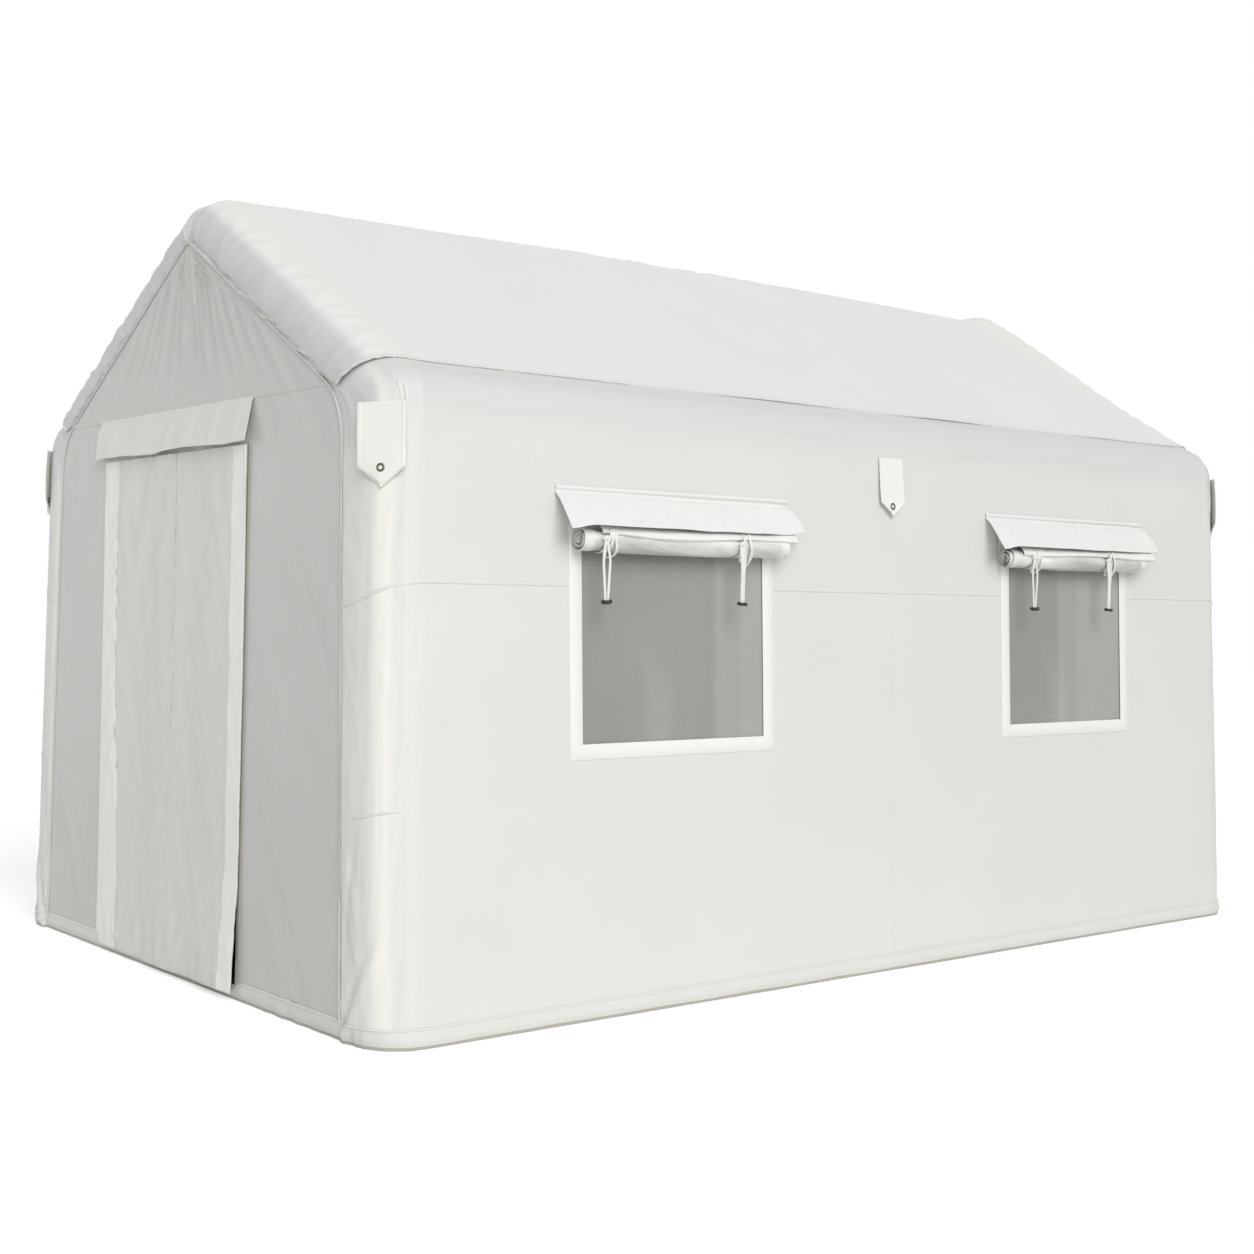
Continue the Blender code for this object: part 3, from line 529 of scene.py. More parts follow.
def wall_relief(along, height, side):
    """How far a side wall stands out from the tight shape, in metres."""
    reach, y = abs(along), along
    wrap = reach - straight_half
    to_seam = cover_end - reach
    end = 1 if along > 0 else -1
    # Slow swells and creases on the flat of the wall, and puckers beside its middle seam.
    calm = calm_at_windows(y, height)
    mid = 1 - smooth(reach, 1.86, 1.97)
    out = 0.0032 * swell(y + 7 * side, height, 0.75, 3.3) * calm * mid
    patches = max(0, swell(y, height, 0.8, 9.1 + side))
    out += 0.0011 * creases(y - 0.45 * height, height, 0.11, 0.9, 6.6 + side) * calm * mid * patches
    out -= 0.0012 * bump(y, 0, 0.03) * smooth(height, 1.33, 1.28)
    puckers = creases(y, height, 0.035, 0.16, 15.2 + side) - 0.3
    out += 0.0018 * puckers * bump(y, 0, 0.22) * (smooth(height, 0.30, 0.10) + smooth(height, 1.55, 1.75))
    bend = smooth(height, 1.74, 1.86)
    out += 0.0030 * (creases(height * 1.4 + 0.04 * y, y, 0.045, 0.9, 25.2 + side) - 0.4) * bend * mid
    # Shallow dents and ribs that run up the end arch's leg.
    wander = 0.008 * noise.noise(Vector((height * 1.1, side * 3.1, end * 5.2)))
    turn = smooth(wrap, -0.02, 0.02)
    out -= 0.0012 * bump(wrap, 0.084 + wander, 0.025)
    out += 0.0012 * bump(wrap, 0.050 + wander, 0.03) + 0.0008 * bump(wrap, 0.125, 0.04)
    ribs = creases(wrap + 0.05 * height, height, 0.030, 0.55, 35.2 + side + end) - 0.35
    out += 0.0022 * ribs * turn * smooth(to_seam, 0.0, 0.02)
    # The flat strip beside the gable's seam is puffed out, with two slanting folds near the ground.
    flat = (wrap - wrap_arc) / flat_wall
    pillow = smooth(flat, -0.5, 0.62) * smooth(flat, 1.0, 0.80)
    out += (0.0085 + 0.003 * swell(height, end, 0.4, 11.0 + side)) * pillow * smooth(height, 1.98, 1.7)
    drag = creases(wrap * 1.6 - height * 0.55, height, 0.075, 0.35, 55.5 + side + end)
    low_drag = 0.30 + 0.70 * smooth(height, 0.75, 0.30)
    out += 0.0075 * (drag - 0.35) * smooth(flat, -0.3, 0.2) * smooth(flat, 1, 0.85) * low_drag
    fold_line = 0.300 - 0.127 * (height - 0.05) / 0.25
    out -= 0.011 * bump(wrap, fold_line, 0.026) * smooth(height, 0.34, 0.27) * smooth(flat, 1, 0.88)
    out += 0.007 * bump(wrap, fold_line - 0.040, 0.034) * smooth(height, 0.36, 0.20)
    second = 0.285 - 0.055 * (height - 0.30) / 0.35
    out -= 0.006 * bump(wrap, second, 0.020) * smooth(height, 0.66, 0.5) * smooth(height, 0.24, 0.32)
    # The cloth is drawn in above the hem and round the shoulder.
    above_hem = creases(along, height, 0.045, 0.2, 65.5 + side) - 0.3
    out += 0.0036 * above_hem * smooth(height, 0.17, 0.05) * (0.3 + 0.7 * turn)
    shoulder = creases(reach, height, 0.040, 0.35, 75.5 + side + end) - 0.3
    out += 0.0045 * shoulder * smooth(height, 1.60, 1.86) * turn * (1 - smooth(flat, 0.9, 1))
    # It never sinks into the air arch behind it.
    if wrap > -0.12:
        out = max(out, -0.0030 - max(wrap - wrap_arc, 0) ** 2 / 0.29)
    return out * smooth(to_seam, -0.002, 0.010)


def wall_surface(side, along, height, proud=0.0):
    """A place on the finished side wall; height runs up the wall, over the bend and on up the roof."""
    level = wall_level(height)
    tucked = smooth(level, 2.0, 2.06)
    if level > 2:
        level = 2 + (level - 2) * (seam_rise(along) + 0.010) / 0.1
    spot, out = cover_spot(along, level, side)
    if abs(along) < straight_half:
        spot.y += (along - spot.y) * (1 - smooth(abs(along), 1.46, 1.93))
    return spot + out * (wall_relief(along, height, side) * (1 - tucked) - 0.0014 * tucked + proud)


def post_cream_and_highlight(along, height):
    """The reinforced, creamier cloth over the posts, made lighter still where the rounded corner turns to the
    light: part cream band, part painted highlight.
    """
    wrap = abs(along) - straight_half
    front = smooth(wrap, 0.090, 0.122) * smooth(wrap, 0.195, 0.140)
    return max(front, 0.30 * smooth(wrap, 0.14, 0.2))


def eave_shade(along, height):
    """Painted shade: the cloth is drawn a little greyer where it turns in under the roof's edge."""
    band = 0.95 * smooth(height, 1.76, 1.93) - 0.45 * smooth(height, 1.94, 2.03)
    return band * (1 - 0.5 * bump(abs(along) - straight_half, 0.10, 0.08))


def cut_out(piece, left, right, bottom, top):
    """Deletes the cells of a sheet between these places of its map."""
    bpy.ops.object.select_all(action="DESELECT")
    bpy.context.view_layer.objects.active = piece
    bpy.ops.object.mode_set(mode="EDIT")
    bpy.ops.mesh.select_mode(type="FACE")
    bpy.ops.mesh.select_all(action="DESELECT")
    bpy.ops.object.mode_set(mode="OBJECT")
    weave = piece.data.uv_layers.active.data
    for face in piece.data.polygons:
        corners = [Vector(weave[i].uv) for i in face.loop_indices]
        middle = (corners[0] + corners[2]) / 2
        face.select = left < middle.x < right and bottom < middle.y < top
    bpy.ops.object.mode_set(mode="EDIT")
    bpy.ops.mesh.delete(type="FACE")
    bpy.ops.object.mode_set(mode="OBJECT")


bend_foot = foot + wall_run
wall_rows = spaced(
    foot, 0.012, 0.085, 0.024, pane_bottom, 0.0234, pane_top, 0.022, 1.76, 0.012, bend_foot, 0.010,
    bend_foot + bend_run, 0.004, bend_foot + 0.132,
)
for title, side in (("right", 1), ("left", -1)):
    holes = []
    for end, sign in (("front", -side), ("rear", side)):
        low, high = window_edges[end]
        holes.append((sign * window_middle + low, sign * window_middle + high))
    (first, second), (third, fourth) = sorted(holes)
    columns = spaced(
        -cover_end, 0.009, -straight_half, 0.012, -1.80, 0.024, first, 0.025, second, 0.025, third,
        0.025, fourth, 0.024, 1.80, 0.012, straight_half, 0.009, cover_end,
    )
    wall = lay_cloth(
        f"side_wall_{title}_cloth", columns, wall_rows,
        lambda across, height: wall_surface(side, side * across, height),
    )
    # Cream band over the posts, partly a painted highlight.
    paint(wall, "cream", post_cream_and_highlight)
    # Painted shade under the roof's edge.
    paint(wall, "shade", eave_shade)
    for low, high in holes:
        cut_out(wall, low, high, pane_bottom, pane_top)
    thicken(wall)
    dress(wall, cover_cloth, nodes=[f"side_wall_{title}"])


# ---- Gable walls ----
# The flat cloth at each end, sewn to the cover round its edge and hung from the arch. The
# front one has the doorway cut out of it, and both are drawn into soft folds under the peak.
door_left, door_right = -0.620, 0.450
door_bottom, door_top = 0.045, 1.741
# Painted shade: the gables are of the cover's off-white cloth, made darker because they stand in shade.
gable_cloth_painted_shade = fabric("gable_cloth_painted_shade", (0.640, 0.637, 0.616), 0.50, tone=0.04, wrinkle=0.0090)
gable_seam_height = 1.918
gable_edge = [
    section_spot(
        wrap_radius + flat_wall, wrap_radius + flat_roof, seam_eave_bend, seam_ridge_bend, level / 50,
    )[0]
    for level in range(201)
]
gable_peak = gable_edge[-1].y


def gable_reach(height):
    """Half the gable's width at a height."""
    for low, high in zip(gable_edge, gable_edge[1:]):
        if height <= high.y:
            share = (height - low.y) / max(high.y - low.y, 1e-9)
            return low.x + (high.x - low.x) * min(max(share, 0), 1)
    return 0


def gable_relief(x, height, end):
    """How far a gable wall stands out, nothing at its sewn edge."""
    reach = gable_reach(height)
    edge = smooth(min(reach - abs(x), (gable_peak - height) * 0.8), 0, 0.07)
    out = 0.0035 * swell(x, height, 0.6, 13.0 + end)
    below = gable_peak - height
    fan = math.atan2(x, below + 0.25)
    out += 0.0085 * (creases(fan, below, 0.090, 0.8, 23.0 + end) - 0.3) * smooth(below, 1.05, 0.12)
    slanting = creases(x + 0.55 * height, height, 0.11, 0.9, 33.0 + end) - 0.3
    out += 0.0050 * slanting * (0.3 + max(0, swell(x, height, 0.5, 43.0)))
    out -= 0.0016 * bump(height, 1.915, 0.02) + 0.0012 * bump(x, 0, 0.02)
    shoulder = creases(x, height, 0.045, 0.25, 53.0 + end) - 0.3
    out += 0.0035 * shoulder * smooth(abs(x), 0.75, 0.95) * bump(height, 1.80, 0.28)
    out += 0.0025 * (creases(x, height, 0.06, 0.2, 63.0 + end) - 0.3) * smooth(height, 0.20, 0.05)
    if end < 0:
        beside = max(abs(x + 0.09) - 0.60, 0)
        out *= smooth(math.hypot(beside, max(height - 1.93, 0)), 0, 0.16)
    return out * edge


def gable_surface(end, x, height, proud=0.0):
    """A place on a finished gable wall. Up to the eaves x is metres, and above them it draws in with
    the gable's edge."""
    reach = gable_reach(height)
    follow = smooth(height, 1.78, 1.96)
    widest = gable_edge[0].x
    inner = 0.76
    outer = inner + (abs(x) - inner) * (reach - inner) / (widest - inner)
    even = x if abs(x) < inner else math.copysign(outer, x)
    place = even + (x * reach / widest - even) * follow
    spot = tapered(place, end * half_length, height)
    return spot + Vector((0, end * (gable_relief(place, height, end) + proud), 0))


gable_columns = spaced(-gable_edge[0].x, 0.022, door_left, 0.024, door_right, 0.022, gable_edge[0].x)
gable_rows = spaced(
    foot, 0.013, door_bottom, 0.026, door_top, 0.022, gable_peak - 0.03, 0.004, gable_peak - 0.0006,
)
for title, end in (("front", -1), ("rear", 1)):
    gable = lay_cloth(
        f"{title}_wall_cloth", gable_columns, gable_rows,
        lambda across, height: gable_surface(end, -end * across, height),
    )
    if end < 0:
        cut_out(gable, door_left, door_right, door_bottom, door_top)
    use(gable, "WELD", "peak", merge_threshold=0.0012)
    thicken(gable)
    dress(gable, gable_cloth_painted_shade, nodes=[f"{title}_wall"])


# ---- Ground sheet ----
# A heavier grey-brown coated cloth under the whole tent. Its edge is turned up outside the
# foot of the walls and welded on, which shows as a dull band at the ground.
ground_cloth = fabric(
    "ground_sheet_cloth", (0.470, 0.455, 0.405), 0.55, crinkle=0.0015, crinkle_size=0.04, tone=0.12,
)
gable_steps = spaced(-gable_edge[0].x, 0.03, gable_edge[0].x)[1:-1]
foot_loop = []
for sign in (1, -1):
    foot_loop += [("side", sign, sign * along) for along in cover_columns]
    foot_loop += [("gable", sign, -sign * x) for x in gable_steps]
foot_loop.append(foot_loop[0])
upstand = 0.026


def foot_surface(number, height, proud):
    """A place round the foot of the walls, on their finished surface or proud of it."""
    wall, sign, along = foot_loop[round(number)]
    if wall == "side":
        return wall_surface(sign, along, height, proud)
    spot = tapered(along, sign * half_length, height)
    return spot + Vector((0, sign * (gable_relief(along, height, sign) + proud), 0))


def ground_surface(number, row):
    if row <= 1:
        place = foot_surface(number, foot, 0.0004)
        return Vector((place.x * row, place.y * row, 0.0028 if row < 0.99 else 0.0004))
    height = 0.001 + (row - 1) * upstand
    return foot_surface(number, height, 0.0004 + 0.0010 * math.sin(math.pi * min(row - 1, 1)))


ground = lay_cloth(
    "ground_sheet_cloth", list(range(len(foot_loop))),
    [0, 0.12, 0.3, 0.5, 0.7, 0.85, 0.95, 0.985, 1, 1.2, 1.45, 1.7, 2], ground_surface,
)
use(ground, "WELD", "closed", merge_threshold=0.0003)
thicken(ground, 0.0009, 1, even=False)
dress(ground, ground_cloth, nodes=["ground_sheet"])


# ---- Air frame ----
# Three inflated arches and six beams between them, of welded coated cloth at full pressure.
# They carry the cover and show only through the doorway.
tube_cloth = fabric("air_tube_cloth", (0.70, 0.71, 0.71), 0.40, crinkle=0.0004, tone=0.02)
arch_radius, beam_radius, elbow_bend = 0.140, 0.090, 0.170


def tube(name, rings, nodes):
    """A smooth closed tube through its rings."""
    piece = lay_cloth(
        name, list(range(len(rings))), list(range(len(rings[0]))), lambda ring, spot: rings[ring][spot],
    )
    use(piece, "WELD", "closed", merge_threshold=0.0004)
    bpy.ops.object.mode_set(mode="EDIT")
    bpy.ops.mesh.select_all(action="SELECT")
    bpy.ops.mesh.fill_holes(sides=0)
    bpy.ops.mesh.normals_make_consistent(inside=False)
    bpy.ops.object.mode_set(mode="OBJECT")
    bpy.ops.object.select_all(action="DESELECT")
    piece.select_set(True)
    bpy.ops.object.shade_smooth_by_angle(angle=math.radians(50))
    return dress(piece, tube_cloth, nodes=nodes)


def round_angles(sides):
    """Even angles round a tube, with the first again at the end."""
    return [math.tau * (step % sides) / sides for step in range(sides + 1)]


arch_line = [
    section_spot(wrap_radius, wrap_radius, elbow_bend, elbow_bend, level)
    for level in spaced(0, 0.05, 1, 0.12, 2, 0.08, 3, 0.125, 4)
]
arch_line += [(Vector((-spot.x, spot.y)), Vector((-out.x, out.y))) for spot, out in arch_line[-2::-1]]
end_y = half_length - wrap_radius
for title, middle_y in (("front", -end_y), ("middle", 0), ("rear", end_y)):
    rings = []
    for number, (spot, out) in enumerate(arch_line):
        radius = arch_radius - 0.0042 - 0.002 * (number % 6 == 3)
        dip = 0.018 * smooth(abs(number - len(arch_line) // 2), 19, 0) * (title == "front")
        ring = []
        for angle in round_angles(36):
            place = spot + out * radius * math.cos(angle)
            if number in (0, len(arch_line) - 1):
                place = Vector((spot.x + math.copysign(1, spot.x) * radius * math.cos(angle), foot))
            ring.append(tapered(place.x, middle_y + radius * math.sin(angle), place.y - dip))
        rings.append(ring)
    tube(f"{title}_air_arch_tube", rings, [f"{title}_air_arch"])

shift = arch_radius - beam_radius - 0.005
ridge_line = arch_line[len(arch_line) // 2][0] + Vector((0, shift))
bend_middle = section_spot(wrap_radius, wrap_radius, elbow_bend, elbow_bend, 1.5)[0]
eave_line = bend_middle + (wall_out + roof_out).normalized() * shift
for title, spot in (
    ("ridge_beam", ridge_line), ("eave_beam_right", eave_line),
    ("eave_beam_left", Vector((-eave_line.x, eave_line.y))),
):
    for where, low, high in (("front", -end_y, 0), ("rear", 0, end_y)):
        rings = []
        for share in spaced(0, 0.04, 1):
            ring = []
            radius = beam_radius * (1 - 0.012)
            for angle in round_angles(28):
                place = spot + Vector((math.cos(angle), math.sin(angle))) * radius
                near = min((place - centre).length for centre, _ in arch_line)
                saddle = math.sqrt(max(arch_radius ** 2 - near ** 2, 0)) + 0.001
                y = low + saddle + (high - low - 2 * saddle) * share
                dip = 0.014 * smooth(-y, 1.5, 1.9) * (title == "ridge_beam")
                ring.append(tapered(place.x, y, place.y - dip))
            rings.append(ring)
        name = title.replace("beam", f"beam_{where}")
        tube(f"{name}_tube", rings, [name])


# ---- Seams, hem and edge piping ----
# Welted seams of the same cloth join the panels, a doubled hem runs round the foot, and a
# cream piping is sewn in all round the gables, where the cover and the end walls meet.
trim_cloth = fabric("cream_trim_cloth", (0.880, 0.866, 0.824), 0.55, crinkle=0.0008, crinkle_size=0.03)
seam_height, leg_seam_height = 1.333, 0.682
seam_half, seam_proud = 0.0060, 0.0016


def strip(name, columns, half_wide, proud, surface, material, body="tent", base=0.0004,
          rows=(-1, -0.86, -0.5, 0, 0.5, 0.86, 1)):
    """A narrow raised strip of cloth on another sheet, rounded along its two edges."""
    rise = dict.fromkeys(rows, 1) | {rows[0]: 0, rows[1]: 0.8, rows[-2]: 0.8, rows[-1]: 0}
    piece = lay_cloth(
        name, columns, rows, lambda along, row: surface(along, row * half_wide, base + proud * rise[row]),
    )
    thicken(piece, 0.0007)
    return dress(piece, material, body)


def join(name, parts):
    """One piece out of several of the same stuff."""
    bpy.ops.object.select_all(action="DESELECT")
    for part in parts:
        part.select_set(True)
    bpy.context.view_layer.objects.active = parts[0]
    bpy.ops.object.join()
    parts[0].name = parts[0].data.name = name
    return parts[0]


border_width = 0.046
seams = []


def add_seam(columns, half_wide, proud, surface, material=cover_cloth):
    """One more strip for the cover's seams."""
    seams.append(strip(f"seam_{len(seams)}", columns, half_wide, proud, surface, material))


for side in (1, -1):
    stops = [-cover_end]
    for sign in (-1, 1):
        low, high = window_edges["front" if sign == -side else "rear"]
        stops += [sign * window_middle + low - border_width, sign * window_middle + high + border_width]
    stops.append(cover_end)
    for low, high in zip(stops[::2], stops[1::2]):
        add_seam(
            spaced(low, 0.02, high), seam_half, seam_proud,
            lambda across, shift, rise: wall_surface(side, side * across, seam_height + shift, rise),
        )
    add_seam(
        spaced(0.072, 0.02, seam_height - 0.004), seam_half, seam_proud,
        lambda height, shift, rise: wall_surface(side, -side * shift, height, rise),
    )
    for end in (-1, 1):
        add_seam(
            spaced(straight_half + 0.075, 0.01, straight_half + 0.245), 0.004, 0.0012,
            lambda across, shift, rise: wall_surface(
                side, side * end * across, leg_seam_height + shift * end * side, rise),
        )
for side in (1, -1):
    for end in (-1, 1):
        for wrap, low, high in ((0.076, 1.845, 1.925), (0.062, 1.70, 1.90)):
            add_seam(
                spaced(low, 0.01, high), 0.0050, 0.0030,
                lambda height, shift, rise: wall_surface(
                    side, end * (straight_half + wrap) - shift * side, height,
                    rise * smooth(height, low, low + 0.06)),
            )
for end in (-1, 1):
    add_seam(
        spaced(1.925, 0.02, gable_peak - 0.04), seam_half, seam_proud,
        lambda height, shift, rise: gable_surface(end, end * shift, height, rise), gable_cloth_painted_shade,
    )
    add_seam(
        spaced(-gable_edge[0].x, 0.02, gable_edge[0].x), 0.0085, seam_proud,
        lambda across, shift, rise: gable_surface(end, -end * across, gable_seam_height + shift, rise),
        gable_cloth_painted_shade,
    )
for side in (1, -1):
    add_seam(
        cover_columns[2:-2], 0.0055, 0.0022,
        lambda along, shift, rise: roof_surface(along, side * (2 - (shift + 0.0065) / 1.2), rise),
    )
join("cover_seams", seams)

hem_top, hem_bottom, sill_hem_top = 0.060, 0.009, 0.034
hem_cloth = fabric(
    "hem_cloth", (0.735, 0.726, 0.696), 0.52, crinkle=0.0026, crinkle_size=0.02, wrinkle=0.0060,
)


def foot_band(number, row):
    """The hem, on the walls' own surface and a little proud of it, lower at the door's sill."""
    wall, sign, along = foot_loop[round(number)]
    at_door = wall == "gable" and sign < 0 and door_left - 0.01 < along < door_right + 0.01
    top = sill_hem_top if at_door else hem_top
    height = hem_bottom + (top - hem_bottom) * (row + 1) / 2
    rise = 0.0026 + 0.0032 * smooth(row, -1, -0.45) - 0.0020 * smooth(row, -0.2, 0.6)
    rise += 0.0022 * bump(row, 0.84, 0.14) - 0.0020 * smooth(row, 0.9, 1)
    rise += 0.0022 * creases(along, height, 0.035, 0.09, 85.0 + sign) * (1 - abs(row)) * (
        0.3 + max(0, swell(along, sign, 0.3, 86.0)))
    height += 0.0022 * noise.noise(Vector((along * 5, sign, 3.0))) * (row < 0)
    return foot_surface(number, height, rise)


hem = lay_cloth(
    "cover_hem", list(range(len(foot_loop))),
    [-1, -0.85, -0.7, -0.5, -0.2, 0.2, 0.6, 0.72, 0.84, 0.92, 1], foot_band,
)
use(hem, "WELD", "closed", merge_threshold=0.0003)
thicken(hem, 0.0009)
dress(hem, hem_cloth)

bpy.ops.object.select_all(action="DESELECT")
piping_parts = []
for end in (-1, 1):
    line = []
    for side in (1, -1):
        half = []
        for level in spaced(0.010, 0.012, 1, 0.08, 2, 0.02, 3, 0.1, 4):
            spot, _ = cover_spot(end * cover_end, level, side)
            shake = 0.0030 * noise.noise(Vector((spot.x * 2, spot.z * 5, end * 3 + side)))
            shake *= smooth(spot.z, 0.9, 0.1)
            spot += Vector((shake * 1.4, end * (0.0030 + shake), 0))
            half.append(spot)
        line += half if side > 0 else half[-2::-1]
    bpy.ops.curve.primitive_nurbs_path_add()
    cord = bpy.context.object
    cord.data.splines.clear()
    spline = cord.data.splines.new("POLY")
    spline.points.add(len(line) - 1)
    for point, spot in zip(spline.points, line):
        point.co = (*spot, 1)
    cord.data.bevel_depth = 0.0034
    cord.data.bevel_resolution = 3
    cord.data.use_fill_caps = True
    bpy.ops.object.select_all(action="DESELECT")
    cord.select_set(True)
    bpy.context.view_layer.objects.active = cord
    bpy.ops.object.convert(target="MESH")
    piping_parts.append(bpy.context.object)
piping = join("gable_piping", piping_parts)
bpy.ops.object.select_all(action="DESELECT")
piping.select_set(True)
bpy.ops.object.shade_smooth_by_angle(angle=math.radians(50))
dress(piping, gable_cloth_painted_shade)


# ---- Door curtain ----
# One flat curtain sewn along its left edge, of the gable's cloth with a doubled cream band
# down both sides and a hem at the foot. It hangs a little away from the wall on the right.
door_hinge, door_foot = -0.645, 0.020
door_width, door_height = 1.120, 1.746
front_up = Vector((0, gable_lean, 1)).normalized()
front_out = Vector((1, 0, 0)).cross(front_up)


def on_front(across, up, out):
    return Vector((across, -half_length, 0)) + front_up * up + front_out * out


def curtain_surface(across, up, proud=0.0):
    """A place on the hanging curtain, which stands off most at its far lower corner."""
    share = across / door_width
    stand = (0.008 + 0.017 * smooth(up, 0.42, 0)) * share
    out = 0.0016 + stand + 0.0025 * (1 - math.cos(math.tau * 3 * share + 0.5 * math.sin(up * 2.2)))
    loose = smooth(across, 0.0, 0.10) * (1 - 0.7 * smooth(across, 0.98, 1.12))
    long_folds = creases(across - 0.42 * up, up, 0.15, 1.1, 71.0) - 0.25
    out += 0.0070 * long_folds * loose * (0.35 + max(0, swell(across, up, 0.6, 5.1)))
    short_folds = creases(across - 0.95 * up, up, 0.085, 0.9, 72.0) - 0.3
    out += 0.0062 * short_folds * loose * (0.35 + max(0, swell(across, up, 0.5, 6.1)))
    out += 0.0022 * (creases(across + 0.30 * up, up, 0.075, 0.7, 72.5) - 0.3) * loose
    foot_folds = creases(across, up, 0.055, 0.22, 73.0) - 0.3
    out += 0.0050 * foot_folds * smooth(up, 0.22, 0.06) * smooth(up, -0.03, 0.05)
    out += 0.0040 * (creases(across, up, 0.080, 0.30, 74.0) - 0.3) * smooth(up, 1.40, 1.70)
    foot_wave = 0.006 * noise.noise(Vector((across * 4, 0.5, 1.2))) * smooth(up, 0.3, 0)
    aside = 0.004 * noise.noise(Vector((up * 2.1, 3.3, 1.0))) * share
    return on_front(door_hinge + across + aside, door_foot + up + foot_wave, max(out, 0.0010) + proud)


curtain = lay_cloth(
    "door_curtain_cloth", spaced(0, 0.016, door_width), spaced(0, 0.012, 0.24, 0.024, door_height),
    curtain_surface,
)
thicken(curtain)
curtain_cloth = fabric(
    "curtain_cloth", (0.745, 0.738, 0.710), 0.48, crinkle=0.0010, crinkle_size=0.06, wrinkle=0.0080,
)
band_cloth = fabric("curtain_band_cloth", (0.930, 0.915, 0.874), 0.50, crinkle=0.0012, crinkle_size=0.04)
dress(curtain, curtain_cloth, "door_curtain", ["door_curtain"])

band_rows = [-1, -0.96, *spaced(-0.88, 0.13, 0.88), 0.96, 1]


def hinge_band(up, row, rise):
    """The band beside the sewn edge, which widens towards the foot."""
    return curtain_surface(0.0015 + (0.126 + 0.050 * smooth(up, 1.3, 0.1)) * (row + 1) / 2, up, rise)


def free_band(up, row, rise):
    """The even band beside the free edge."""
    return curtain_surface(door_width - 0.0015 - 0.092 * (1 - row) / 2, up, rise)


curtain_bands = join("curtain_bands", [
    strip(
        name, spaced(0.004, 0.012, door_height), 1.0, 0.0012, surface, band_cloth, body="door_curtain",
        rows=band_rows,
    )
    for name, surface in (("curtain_band_hinge", hinge_band), ("curtain_band_free", free_band))
])
curtain_seams = join("curtain_hem_and_seam", [
    strip(
        "curtain_hem", spaced(0.002, 0.02, door_width - 0.002), 1.0, 0.0010,
        lambda across, row, rise: curtain_surface(across, 0.0015 + 0.062 * (row + 1) / 2, rise),
        curtain_cloth, body="door_curtain",
    ),
    strip(
        "curtain_middle_seam", spaced(0.064, 0.03, door_height), 0.0045, 0.0012,
        lambda up, shift, rise: curtain_surface(0.605 + shift, up, rise), curtain_cloth, body="door_curtain",
    ),
])

jamb_cloth = fabric("door_jamb_tape", (0.520, 0.500, 0.450), 0.6, crinkle=0.001, crinkle_size=0.03)
strip(
    "door_jamb_band", spaced(0.13, 0.04, 1.78), 0.010, 0.0010,
    lambda up, shift, rise: gable_surface(-1, 0.466 + shift, up, rise), jamb_cloth,
)


# ---- Rain flap over the door ----
# A straight strip of doubled cream cloth, sewn to the gable along its top edge, that hangs
# over the curtain's top and stands off to the right where the curtain pushes it out.
header_hinge, header_top, header_width, header_drop = -0.685, 1.917, 1.180, 0.142


def header_surface(across, down, proud=0.0):
    share, low = across / header_width, down / header_drop
    sewn = smooth(low, 0.06, 0.30)
    out = 0.0034 * sewn + (0.018 + 0.012 * share) * low + 0.002
    out += 0.006 * (creases(across + 0.25 * down, down, 0.16, 0.3, 81.0) - 0.3) * sewn
    out += 0.005 * noise.noise(Vector((across * 5, down * 3, 2.0))) * low
    out += 0.0015 * bump(low, 0.13, 0.06)
    wave = 0.004 * math.sin(math.tau * 2 * share) * low
    wave += 0.0035 * noise.noise(Vector((across * 9, 4.0, 0))) * low
    aside = 0.022 * (share - 0.55) * low
    return on_front(header_hinge + across + aside, header_top + wave - down, out + proud)


header_cloth = fabric(
    "header_cloth", (0.800, 0.788, 0.750), 0.52, crinkle=0.0012, crinkle_size=0.05, wrinkle=0.0060,
)
header = lay_cloth(
    "door_header_cloth", spaced(0, 0.016, header_width),
    [-down for down in spaced(header_drop, 0.008, 0)], lambda across, height: header_surface(across, -height),
)
thicken(header, 0.0018, 1)
header_edges = join("header_edges", [
    strip(
        name, spaced(0.001, 0.02, header_width - 0.001), half_wide, proud,
        lambda across, shift, rise: header_surface(across, down - shift, 0.0016 + rise), header_cloth,
        body="door_header_flap",
    )
    for name, down, half_wide, proud in (
        ("header_sewn_edge", 0.0075, 0.0060, 0.0012),
        ("header_lower_hem", header_drop - 0.0095, 0.0085, 0.0010),
    )
])
dress(header, header_cloth, "door_header_flap", ["door_header_flap"])


# ---- Window borders and panes ----
# A flat cream band is sewn round each opening, and a fine grey mesh is welded in behind it.
# The mesh is backed by a soft film, so it shines a little and hangs in slow waves.
windows = (
    ("front_right", 1, -window_middle), ("rear_right", 1, window_middle),
    ("front_left", -1, window_middle), ("rear_left", -1, -window_middle),
)


def border_surface(side, centre, edges, number, row, proud):
    """A ring round the opening: number counts quarter turns round it and row goes out across it."""
    low, high = edges
    corners = []
    for spread in (-0.0015, border_width):
        corners.append([
            (centre + high + spread, pane_bottom - spread), (centre + high + spread, pane_top + spread),
            (centre + low - spread, pane_top + spread), (centre + low - spread, pane_bottom - spread),
        ])
    start, share = int(number) % 4, number - int(number)
    spots = []
    for ring in corners:
        first, second = ring[start - 1], ring[start]
        spots.append((first[0] + (second[0] - first[0]) * share, first[1] + (second[1] - first[1]) * share))
    outward = (row + 1) / 2
    across = spots[0][0] + (spots[1][0] - spots[0][0]) * outward
    height = spots[0][1] + (spots[1][1] - spots[0][1]) * outward
    return wall_surface(side, side * across, height, proud)


